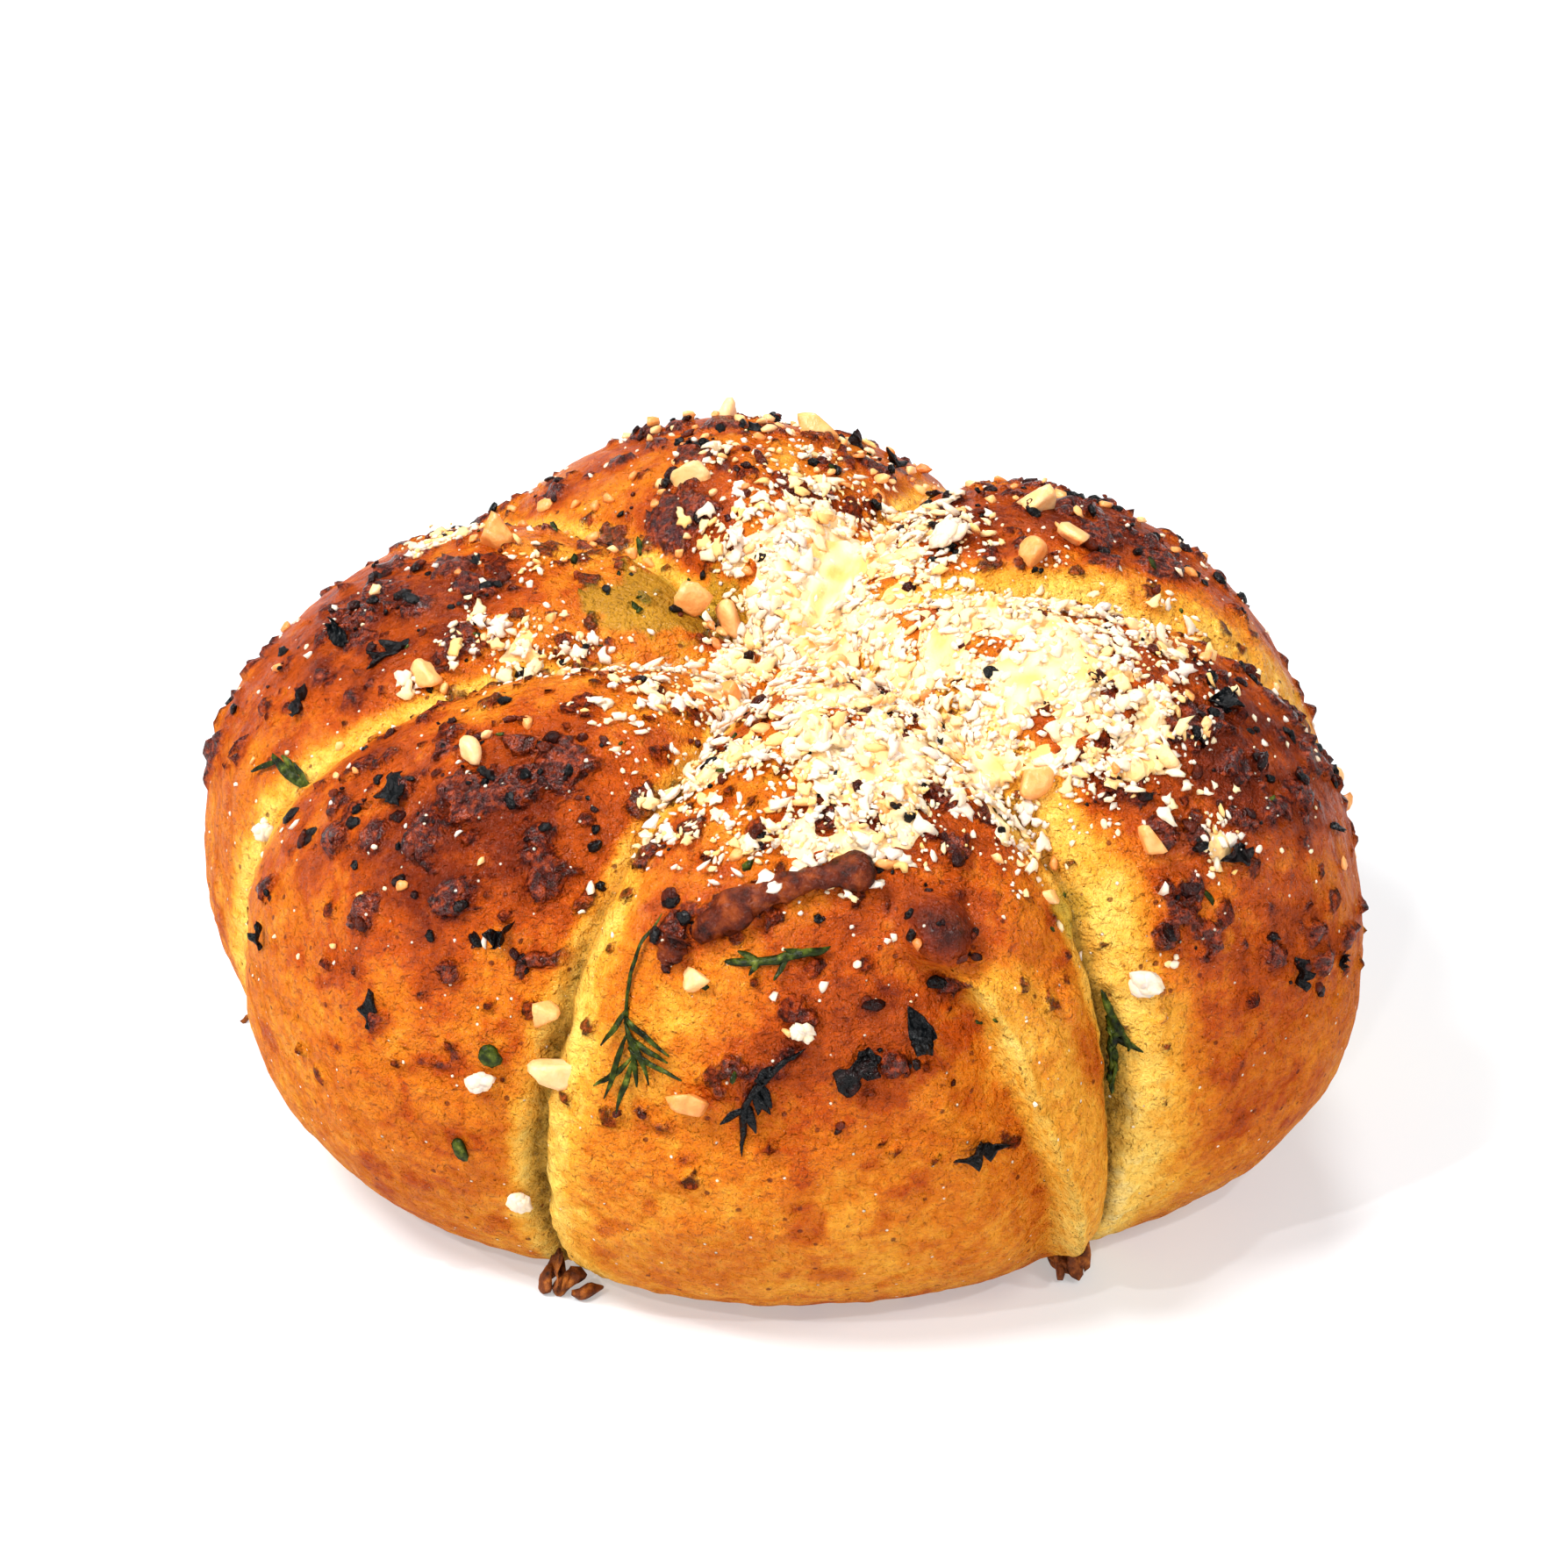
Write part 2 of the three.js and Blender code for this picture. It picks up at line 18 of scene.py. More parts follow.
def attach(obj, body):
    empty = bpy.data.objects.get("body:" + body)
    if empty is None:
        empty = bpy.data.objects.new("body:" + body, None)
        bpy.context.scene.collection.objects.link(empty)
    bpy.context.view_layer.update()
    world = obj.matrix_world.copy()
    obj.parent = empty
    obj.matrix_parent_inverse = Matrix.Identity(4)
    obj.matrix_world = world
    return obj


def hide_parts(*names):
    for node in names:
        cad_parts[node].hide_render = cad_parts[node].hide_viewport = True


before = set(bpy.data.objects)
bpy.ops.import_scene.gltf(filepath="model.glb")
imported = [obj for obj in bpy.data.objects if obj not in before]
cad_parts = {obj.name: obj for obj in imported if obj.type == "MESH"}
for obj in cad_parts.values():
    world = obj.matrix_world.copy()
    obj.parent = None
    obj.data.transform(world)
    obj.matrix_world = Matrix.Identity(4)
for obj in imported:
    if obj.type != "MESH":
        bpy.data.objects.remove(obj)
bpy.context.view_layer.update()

MM = 0.001
BODY = "root"

# ---------- the roll's shape, as in the CAD part

GIRTH_RADIUS = 60.0
GIRTH_HEIGHT = 26.0
CREST_HEIGHT = 65.0
UNDERSIDE_DROP = 35.0
UPPER_SQUARENESS = 2.25
LOWER_SQUARENESS = 2.4
KNOT_OFFSET = (2.4, -3.0)
DIP_DEPTH = 13.0
DIP_RADIUS = 30.0
RIM_CUT_DEPTH = 2.6
SHOULDER_CUT_DEPTH = 4.2
SHOULDER_ELEVATION = 45.0
SHOULDER_SPREAD = 30.0
CUT_HALF_WIDTH = 4.2
LOBE_CROWN = 2.6
CUT_START_RADIUS = 24.0
CUT_FOOT = (-50.0, 0.0)
FLARE_SPAN = (-30.0, 45.0)
# azimuth of the cut before the lobe, swing of that cut's foot, extra reach, extra crest height
LOBES = [
    (5, 0, 1.0, 0.0),
    (67, 0, 10.0, 0.0),
    (131, 0, 3.0, -5.0),
    (190, 0, -2.5, -4.0),
    (247, -7, -4.5, 0.0),
    (304, 5, 1.0, 4.0),
]
CAD_GAP = 0.3  # how far the CAD part holds each topping off the crust
MIDDLE = np.array([0.0, 0.0, GIRTH_HEIGHT])

# ---------- what the crust looks like

# How torn open each cut is down its lower half, in the order of LOBES: depth in mm.
TEAR_DEPTH = [0.6, 0.9, 0.5, 0.7, 2.0, 2.5]
TEAR_HALF_WIDTH = (0.65, 1.25)  # high up and low down
CRACK_CUT = 5  # the cut beside the flap
CRACK_SHIFT = 1.6  # how far its tear runs to the right of the cut's middle, part way up
FLAT_FACE = (-58, -31)  # elevations over which the cuts fade on the resting face
# How far the pale skin reaches before and after each cut: low down, then high up.
CUT_BANDS = [
    (6, 9, 6, 9),
    (5, 5, 2.5, 2.5),
    (6, 6, 3, 3),
    (6, 7, 3, 3.5),
    (3, 7, 2, 4),
    (1.6, 8, 4.5, 6),
]

# A fold in the skin of the front lobe, from its knob down to the foot: elevation, azimuth.
FOLD = [(-26, 306), (-11, 300), (-4, 297), (5, 294), (10, 292.5), (15, 290), (17, 288), (20, 285)]
FLAP_RISE = 1.9  # how far the flap on its right stands up
HOLLOW_DEPTH = 1.8  # how far the skin on its left is drawn in
HOLLOW_WIDTH = 9.0

# Round swellings: azimuth, elevation, radius, height.
KNOBS = [(287, 22, 3.7, 3.4), (302, 11, 2.2, 0.8), (296, 21, 4.5, 1.0)]

# Raised caramelised patches: azimuth, elevation, radius.
SCABS = [
    (225, 31, 3.8), (232, 38, 3.6), (229, 34, 3), (239, 25, 2.4), (229, 20, 2.5), (222, 24, 2.2),
    (119, 54, 4.2), (346, 21, 2.6), (350, 26, 2.2), (236, 29, 1.8), (215, 22, 1.7), (220, 16, 1.8),
    (232, 13, 1.3), (205, 22, 1.6), (158, 38, 2.6), (166, 42, 2.4), (170, 36, 2.2), (160, 30, 2),
    (152, 28, 2.2), (180, 40, 2.2), (262, 24, 2.2), (257, 22, 2), (272, 14, 1.6), (281, 9, 1.8),
    (265, 9, 1.6), (288, 16, 1.2), (314, 15, 1.6), (325, 9, 1.6), (331, 27, 2.4), (318, 31, 2.6),
    (338, 20, 1.6), (24, 42, 2.4), (35, 40, 2.4), (18, 36, 2.2), (100, 40, 2.6), (130, 45, 2.2),
    (300, 33, 2), (285, 37, 2.6), (275, 35, 2.2), (292, 30, 1.8), (250, 30, 1.7), (246, 36, 1.6),
]

# Places that are browned more, or less where the amount is below 0: azimuth, elevation, radius, amount.
TOASTED = [
    (160, 32, 20, 0.1), (175, 24, 14, 0.1), (206, 24, 9, 0.1), (228, 30, 12, 0.1), (222, 14, 10, 0.1),
    (273, 9, 10, 0.16), (287, 22, 3.2, 0.42), (255, 6, 7, -0.08), (228, -4, 14, 0.04), (330, 32, 13, 0.19),
    (345, 18, 14, 0.09), (325, -4, 16, 0.08), (30, 42, 14, 0.16), (118, 54, 6, 0.2), (100, 40, 9, 0.06),
    (262, 25, 6, 0.1), (258, 36, 8, -0.12), (204, 40, 11, -0.08), (282, 35, 6, 0.16), (60, 20, 20, 0.08),
    (100, 15, 22, 0.1), (140, 50, 9, -0.12), (20, 25, 12, 0.08),
]

# The herb oil that has soaked in: azimuth, elevation, radius.
OILED = [(150, 64, 6.5), (165, 60, 4.5), (128, 68, 4.5), (306, 20, 2.6), (302, 33, 2.4)]

# Where the grated cheese lies: azimuth, elevation, radius, how much of the crust it covers.
CHEESE_HEAPS = [
    (59, 70, 9, 0.48), (316, 76, 9, 0.62), (281, 53, 8, 0.54), (176, 81, 6, 0.36), (246, 68, 8, 0.44),
    (315, 59, 8, 0.5), (321, 50, 8, 0.38), (330, 44, 7, 0.36), (340, 37, 5, 0.32), (25, 64, 7, 0.36),
    (14, 54, 6, 0.22), (332, 55, 6, 0.5), (347, 46, 6, 0.42), (6, 32, 5, 0.16), (68, 65, 8, 0.38),
    (74, 60, 7, 0.32), (105, 64, 5, 0.22), (110, 69, 5, 0.28), (50, 56, 6, 0.3), (89, 50, 6, 0.34),
    (76, 38, 4, 0.16), (106, 53, 4, 0.22), (229, 57, 6, 0.34), (243, 46, 5, 0.22), (262, 46, 5, 0.32),
    (279, 45, 6, 0.42), (294, 44, 6, 0.42), (310, 40, 6, 0.36), (320, 38, 7, 0.44), (325, 32, 5, 0.34),
    (315, 32, 4, 0.22), (306, 35, 5, 0.38), (289, 38, 5, 0.36), (279, 38, 5, 0.34), (255, 40, 5, 0.32),
    (255, 32, 4, 0.3), (266, 32, 4, 0.36), (275, 32, 4.5, 0.62), (284, 32, 4, 0.36), (300, 29, 3.5, 0.42),
    (268, 29, 3, 0.18), (145, 30, 3.2, 0.75), (154, 45, 3, 0.3), (186, 48, 5, 0.45), (183, 40, 4, 0.34),
    (189, 32, 3, 0.18), (323, 21, 2.2, 0.85), (314, 12, 1.3, 0.6), (150, 64, 6, -0.4),
]

# Uneven places of the crust, as layers of noise: height or amount, size of the lumps in mm, seed.
SWELL = [(0.55, 17, 1), (0.34, 7, 2), (0.2, 3.4, 9)]
GRAIN = [(0.13, 1.4, 10), (0.12, 2.3, 14)]
TEAR_WANDER = [(0.7, 6, 3), (0.4, 2, 4), (0.3, 1.1, 16)]
TORN_SKIN = [(0.32, 1.5, 6), (0.22, 0.8, 7)]
BROWNED_PATCHES = [(0.66, 3.8, 41), (0.42, 1.6, 42)]
BROWNING = [(0.09, 14, 31), (0.09, 5, 32), (0.07, 2.2, 33)]
CHEESE_LUMPS = [(0.45, 2.6, 51), (0.3, 1.2, 52)]

SCAB_HEIGHT = 0.8
SMALL_SCABS = 560
PALE_PLACE = (278, 6)  # azimuth and elevation of the place on the front lobe that has few browned patches
PALE_RADIUS = 14
LIP_RISE = 0.7  # of the flap's edge, above the flap
EDGE_ROUNDING = 2.0  # of the edge of the flat face
BED_COVER = 0.38  # how thickly the cheese has to lie before it runs together
BED_THICKNESS = 0.7
BED_SUNK = 0.9

# How brown the crust is, from 0, pale dough, to 1, nearly black.
BASE_BAKE = 0.42
FLAP_BAKE = 0.38
CUT_BAKE = 0.15

CRUST_PATCH = 180  # quads along one side of each of the six patches of the crust
ATLAS_COLUMNS = 3
ATLAS_ROWS = 2
ATLAS_MARGIN = 0.01


# ---------- small tools


def smoothstep(low, high, value):
    """0 below low and 1 above high, with a smooth rise between them."""
    t = np.clip((value - low) / (high - low), 0, 1)
    return t * t * (3 - 2 * t)


def hump(value, width, power=2):
    """1 where the value is 0, about a third at the width, and nearly 0 further out."""
    return np.exp(-((value / width) ** power))


def unit(vectors):
    return vectors / np.linalg.norm(vectors, axis=-1, keepdims=True)


def direction(azimuth, elevation):
    """Unit vectors from angles in degrees."""
    azimuth, elevation = np.radians(azimuth), np.radians(elevation)
    flat = np.cos(elevation)
    return np.stack([flat * np.cos(azimuth), flat * np.sin(azimuth), np.sin(elevation)], -1)


def noise(points, cell, seed):
    """Smooth noise between -1 and 1 in lumps that are about cell across."""
    period = 32
    lattice = np.random.RandomState(seed).uniform(-1, 1, (period, period, period))
    scaled = points / cell + 0.5 * seed
    base = np.floor(scaled).astype(int)
    part = scaled - base
    part = part * part * (3 - 2 * part)
    total = np.zeros(len(points))
    for corner in itertools.product((0, 1), repeat=3):
        weight = np.prod(np.where(corner, part, 1 - part), axis=1)
        i, j, k = ((base + corner) % period).T
        total += weight * lattice[i, j, k]
    return total


def lumps(points, layers):
    """The sum of several layers of noise."""
    return sum(height * noise(points, cell, seed) for height, cell, seed in layers)


def linear(red, green, blue):
    """A colour given as the eye sees it, 0 to 255, as the linear colour that a shader takes."""
    shares = [channel / 255 for channel in (red, green, blue)]
    return tuple(s / 12.92 if s <= 0.04045 else ((s + 0.055) / 1.055) ** 2.4 for s in shares) + (1.0,)


def new_mesh(name, points, faces, material, attributes=(), flat=False):
    """An object from points in mm and an array of faces of one size, faceted where flat is true."""
    mesh = bpy.data.meshes.new(name)
    size = faces.shape[1]
    mesh.vertices.add(len(points))
    mesh.vertices.foreach_set("co", (points * MM).astype(np.float32).ravel())
    mesh.loops.add(faces.size)
    mesh.loops.foreach_set("vertex_index", faces.astype(np.int32).ravel())
    mesh.polygons.add(len(faces))
    mesh.polygons.foreach_set("loop_start", np.arange(0, faces.size, size, dtype=np.int32))
    mesh.update(calc_edges=True)
    mesh.validate()
    if not flat:
        mesh.shade_smooth()
    for label, values in attributes:
        layer = mesh.attributes.new(label, "FLOAT", "POINT")
        layer.data.foreach_set("value", np.asarray(values, np.float32))
    mesh.materials.append(material)
    made = bpy.data.objects.new(name, mesh)
    bpy.context.scene.collection.objects.link(made)
    return made


# ---------- the crust's formula


def lobe_at(azimuth, elevation):
    """Which lobe a place is in, how far across it is, and the lobe's width in radians."""
    low = 1 - smoothstep(*FLARE_SPAN, elevation)
    cuts = [np.radians(cut + flare * low) for cut, flare, _, _ in LOBES]
    cuts.append(cuts[0] + 2 * np.pi)
    turn = cuts[0] + np.mod(azimuth - cuts[0], 2 * np.pi)
    index = np.zeros(azimuth.shape, int)
    for number in range(1, len(LOBES)):
        index[turn >= cuts[number]] = number
    stacked = np.stack(cuts)
    columns = np.arange(len(turn))
    start, end = stacked[index, columns], stacked[index + 1, columns]
    return index, (turn - start) / (end - start), end - start


def blended(index, across, values):
    """A lobe's own value in its middle, running smoothly into its neighbour's at the cut."""
    values = np.asarray(values)
    own = values[index]
    count = len(values)
    neighbour = np.where(across < 0.5, values[(index - 1) % count], values[(index + 1) % count])
    shared = (own + neighbour) / 2
    return shared + (own - shared) * np.sin(np.pi * across) ** 2


def crust_radius(way):
    """The smooth crust's distance from the middle, and each place's elevation, nearest cut and way to it."""
    flat = np.hypot(way[:, 0], way[:, 1])
    up = way[:, 2]
    above = up > 0
    elevation = np.degrees(np.arcsin(np.clip(up, -1, 1)))
    pull = np.where(above, up * up, 0) / GIRTH_RADIUS
    x = way[:, 0] - KNOT_OFFSET[0] * pull
    y = way[:, 1] - KNOT_OFFSET[1] * pull
    from_knot = np.hypot(x, y) * GIRTH_RADIUS
    index, across, width = lobe_at(np.arctan2(y, x), elevation)
    fade = smoothstep(0, CUT_START_RADIUS, from_knot)

    reach = GIRTH_RADIUS + blended(index, across, [lobe[2] for lobe in LOBES])
    crest = CREST_HEIGHT + blended(index, across, [lobe[3] for lobe in LOBES]) * fade
    half = np.where(above, crest - GIRTH_HEIGHT, UNDERSIDE_DROP)
    power = np.where(above, UPPER_SQUARENESS, LOWER_SQUARENESS)
    shell = ((flat / reach) ** power + (np.abs(up) / half) ** power) ** (-1 / power)
    dip = np.where(above, DIP_DEPTH * hump(from_knot, DIP_RADIUS), 0)

    shoulder = hump(elevation - SHOULDER_ELEVATION, SHOULDER_SPREAD)
    depth = RIM_CUT_DEPTH + (SHOULDER_CUT_DEPTH - RIM_CUT_DEPTH) * shoulder
    arc = width * np.where(above, from_knot, GIRTH_RADIUS * flat)
    from_cut = np.minimum(across, 1 - across) * arc
    cut = depth / (1 + (from_cut / CUT_HALF_WIDTH) ** 2)
    crown = LOBE_CROWN * np.cos(np.pi * across) ** 2
    radius = shell - dip - (cut + crown) * fade * smoothstep(*CUT_FOOT, elevation)
    nearest = (index + (across > 0.5)) % len(LOBES)
    side = np.where(across > 0.5, -from_cut, from_cut)
    place = {"elevation": elevation, "cut": nearest, "side": side, "fade": fade, "depth": cut * fade}
    return radius, place


def cube_sphere(count):
    """Unit directions on six welded square patches, their quads, and an atlas UV for each corner."""
    steps = np.tan(np.linspace(-1, 1, count + 1) * np.pi / 4)
    u, v = np.meshgrid(steps, steps, indexing="ij")
    i, j = np.meshgrid(np.arange(count), np.arange(count), indexing="ij")
    corner = (i * (count + 1) + j).ravel()
    quads = np.stack([corner, corner + count + 1, corner + count + 2, corner + 1], 1)
    grid = np.stack([i.ravel(), j.ravel()], 1)[:, None, :] + np.array([[0, 0], [1, 0], [1, 1], [0, 1]])[None]
    x, y, z = np.eye(3)
    axes = [(x, y, z), (y, x, -z), (y, z, x), (z, y, -x), (z, x, y), (x, z, -y)]
    ways, faces, uvs = [], [], []
    for number, (along, across, out) in enumerate(axes):
        points = u[..., None] * along + v[..., None] * across + out
        ways.append(points.reshape(-1, 3))
        faces.append(quads + number * (count + 1) ** 2)
        cell = np.array([number % ATLAS_COLUMNS, number // ATLAS_COLUMNS])
        inside = ATLAS_MARGIN + grid / count * (1 - 2 * ATLAS_MARGIN)
        uvs.append((inside + cell) / np.array([ATLAS_COLUMNS, ATLAS_ROWS]))
    ways = unit(np.concatenate(ways))
    _, first, welded = np.unique(np.round(ways, 6), axis=0, return_index=True, return_inverse=True)
    return ways[first], welded.reshape(-1)[np.concatenate(faces)], np.concatenate(uvs)


def distance_to(skin, azimuth, elevation):
    """How far each point of the skin is from a place on it, in mm."""
    way = direction(azimuth, elevation)
    centre = MIDDLE + way * crust_radius(way[None])[0][0]
    return np.linalg.norm(skin - centre, axis=1)


def bumps(skin, places, seed, ragged):
    """How much the round places cover each point: 1 inside and 0 outside, with a ragged rim."""
    wobble = 1 + ragged * noise(skin, 1.6, seed) + 0.5 * ragged * noise(skin, 0.7, seed + 1)
    most = np.zeros(len(skin))
    for azimuth, elevation, radius in places:
        distance = distance_to(skin, azimuth, elevation) / radius
        near = distance < 2
        most[near] = np.maximum(most[near], 1 - smoothstep(0.72, 1.0, distance[near] * wobble[near]))
    return most


def soft_patches(skin, places):
    """The sum of smooth round patches, each fading over its radius."""
    total = np.zeros(len(skin))
    for azimuth, elevation, radius, amount in places:
        total += amount * hump(distance_to(skin, azimuth, elevation), radius)
    return total


def random_scabs(count, seed):
    """Small caramelised patches all over the upper crust, fewer low down."""
    random = np.random.RandomState(seed)
    spots = []
    while len(spots) < count:
        azimuth, elevation = random.uniform(0, 360), random.uniform(-5, 58)
        if random.uniform() < smoothstep(-10, 30, elevation) * 0.8 + 0.1:
            spots.append((azimuth, elevation, 0.4 + 1.1 * random.uniform() ** 1.6))
    return spots


# ---------- the crust's surface


def fold_relief(skin, radius, azimuth, elevation):
    """How far each point is to the right of the fold, how much it belongs to it, and how far it is raised."""
    fold_elevations, fold_azimuths = np.array(FOLD, float).T
    fold_at = np.interp(elevation, fold_elevations, fold_azimuths)
    from_fold = np.radians(azimuth - fold_at) * radius * np.cos(np.radians(elevation))
    from_fold = from_fold + 0.35 * noise(skin, 6, 8)
    on_fold = smoothstep(-30, -18, elevation) * (1 - smoothstep(15, 21, elevation))
    on_fold = on_fold * (np.abs(azimuth - fold_at) < 30)
    flap = FLAP_RISE * smoothstep(-0.6, 0.4, from_fold) * (1 - smoothstep(2, 10, from_fold))
    lip = LIP_RISE * hump(from_fold - 0.5, 0.9)
    hollow = -HOLLOW_DEPTH * smoothstep(-HOLLOW_WIDTH, -1, from_fold) * (1 - smoothstep(-0.5, 0.3, from_fold))
    return from_fold, on_fold, (flap + lip + hollow) * on_fold


def knob_relief(skin):
    """How far the round swellings raise each point."""
    relief = np.zeros(len(skin))
    for azimuth, elevation, size, height in KNOBS:
        distance = distance_to(skin, azimuth, elevation) / size
        relief += height * np.maximum(1 - distance**2, 0) ** 0.6
        relief += 0.25 * height * hump(distance, 1.3)
    return relief


def crust_surface():
    """The crust's points in mm, its faces and UVs, and what is known of each point."""
    way, faces, uvs = cube_sphere(CRUST_PATCH)
    radius, place = crust_radius(way)
    skin = MIDDLE + way * radius[:, None]
    elevation = place["elevation"]
    azimuth = np.degrees(np.arctan2(way[:, 1], way[:, 0])) % 360
    lower = 1 - smoothstep(0, 30, elevation)

    # the torn cuts, and the pale rough skin beside them
    shifted = (place["cut"] == CRACK_CUT) * hump(elevation - 20, 16)
    wander = place["side"] + lumps(skin, TEAR_WANDER) - CRACK_SHIFT * shifted
    fade = place["fade"] * (0.2 + 0.8 * smoothstep(*FLAT_FACE, elevation))
    depth = np.asarray(TEAR_DEPTH)[place["cut"]] * (0.35 + 0.65 * lower) * fade
    narrow, wide = TEAR_HALF_WIDTH
    tear_width = (narrow + (wide - narrow) * lower) * (1 + 0.4 * noise(skin, 4, 5))
    tear = depth * hump(wander, tear_width)
    before, after, before_high, after_high = np.array(CUT_BANDS, float)[place["cut"]].T
    low_reach, high_reach = np.where(wander < 0, (before, before_high), (after, after_high))
    reach = high_reach + (low_reach - high_reach) * lower
    band = hump(wander, reach, 4) * fade
    torn = band * lumps(skin, TORN_SKIN) * (0.4 + 0.6 * lower)

    from_fold, on_fold, folded = fold_relief(skin, radius, azimuth, elevation)
    knob = knob_relief(skin)

    # browned patches, with a paler place in the middle of the front lobe
    roast = soft_patches(skin, TOASTED)
    patchy = lumps(skin, BROWNED_PATCHES) + 0.8 * roast
    patches = smoothstep(0.46, 0.6, patchy) * smoothstep(-12, 12, elevation) * (1 - 0.7 * band)
    patches = patches * (1 - on_fold * hump(from_fold, 8, 4))
    patches = patches * (1 - 0.6 * hump(distance_to(skin, *PALE_PLACE), PALE_RADIUS, 4))
    scab = np.maximum(bumps(skin, SCABS, 11, 0.45), patches)
    halo = np.clip(soft_patches(skin, [(*spot[:2], 1.7 * spot[2], 1.0) for spot in SCABS]), 0, 1)
    halo = np.maximum(halo, smoothstep(0.1, 0.5, patchy))
    specks = bumps(skin, random_scabs(SMALL_SCABS, 21), 13, 0.4)
    smooth = 1 - np.clip(knob / 2, 0, 1)
    scab, specks = scab * smooth, specks * smooth

    swell = lumps(skin, SWELL) * smoothstep(-28, -5, elevation)
    grain = lumps(skin, GRAIN) * (1 - 0.6 * band)
    raised = SCAB_HEIGHT * np.maximum(scab, 0.7 * specks) * (1.0 + 0.9 * noise(skin, 1.2, 12))
    move = swell - tear + torn + folded + knob + grain + raised
    points = MIDDLE + way * (radius + move)[:, None]

    # the flat face, with a rounded edge
    height = points[:, 2]
    near = np.clip(1 - np.abs(height) / EDGE_ROUNDING, 0, 1)
    points[:, 2] = np.maximum(height, 0) + near * near * EDGE_ROUNDING / 4
    points[height < -EDGE_ROUNDING, 2] = 0

    # how brown it is: darker towards the crests, pale in the cuts and on the flap, palest along the fold
    bake = BASE_BAKE + 0.08 * smoothstep(-16, 26, elevation) - 0.03 * (1 - smoothstep(-26, -8, elevation))
    uneven = lumps(skin, BROWNING) * (0.45 + 0.55 * smoothstep(-5, 20, elevation))
    bake = bake + uneven + roast + 0.11 * halo
    on_flap = on_fold * smoothstep(-0.3, 0.8, from_fold) * (1 - smoothstep(5, 9, from_fold))
    bake = bake + (FLAP_BAKE - bake) * 0.7 * on_flap * smooth
    pale = band * (1 - 0.35 * np.maximum(scab, 0)) * (0.88 + 0.2 * noise(skin, 3, 34))
    in_cut = CUT_BAKE + 0.05 * (1 - lower) + 0.12 * hump(wander, 0.8)
    bake = bake * (1 - pale) + in_cut * pale
    bake = bake - 0.24 * on_fold * hump(from_fold - 0.1, 0.9)
    bake = bake - 0.08 * on_fold * smoothstep(0, 1.5, from_fold) * (1 - smoothstep(6, 9, from_fold))
    known = {
        "way": way,
        "bake": bake,
        "scab": np.clip(np.maximum(scab, 0.75 * specks), 0, 1),
        "oil": bumps(skin, OILED, 15, 0.3),
        "gloss": 0.3 + 0.4 * smoothstep(-5, 25, elevation) * (0.7 + 0.6 * noise(skin, 6, 36)) + 0.8 * scab,
        # how deep each tear is; the shader darkens the crust there, partly the torn crumb's colour and partly
        # painted shade in the crack
        "torn_crumb_and_shade": np.clip(tear / 1.4, 0, 1),
        "cheese": soft_patches(skin, CHEESE_HEAPS) * (1 + 0.55 * noise(skin, 3.5, 35)),
        "elevation": elevation,
        "azimuth": azimuth,
        "move": move,
        "cut": place["depth"],
    }
    return points, faces, uvs, known


# ---------- shaders


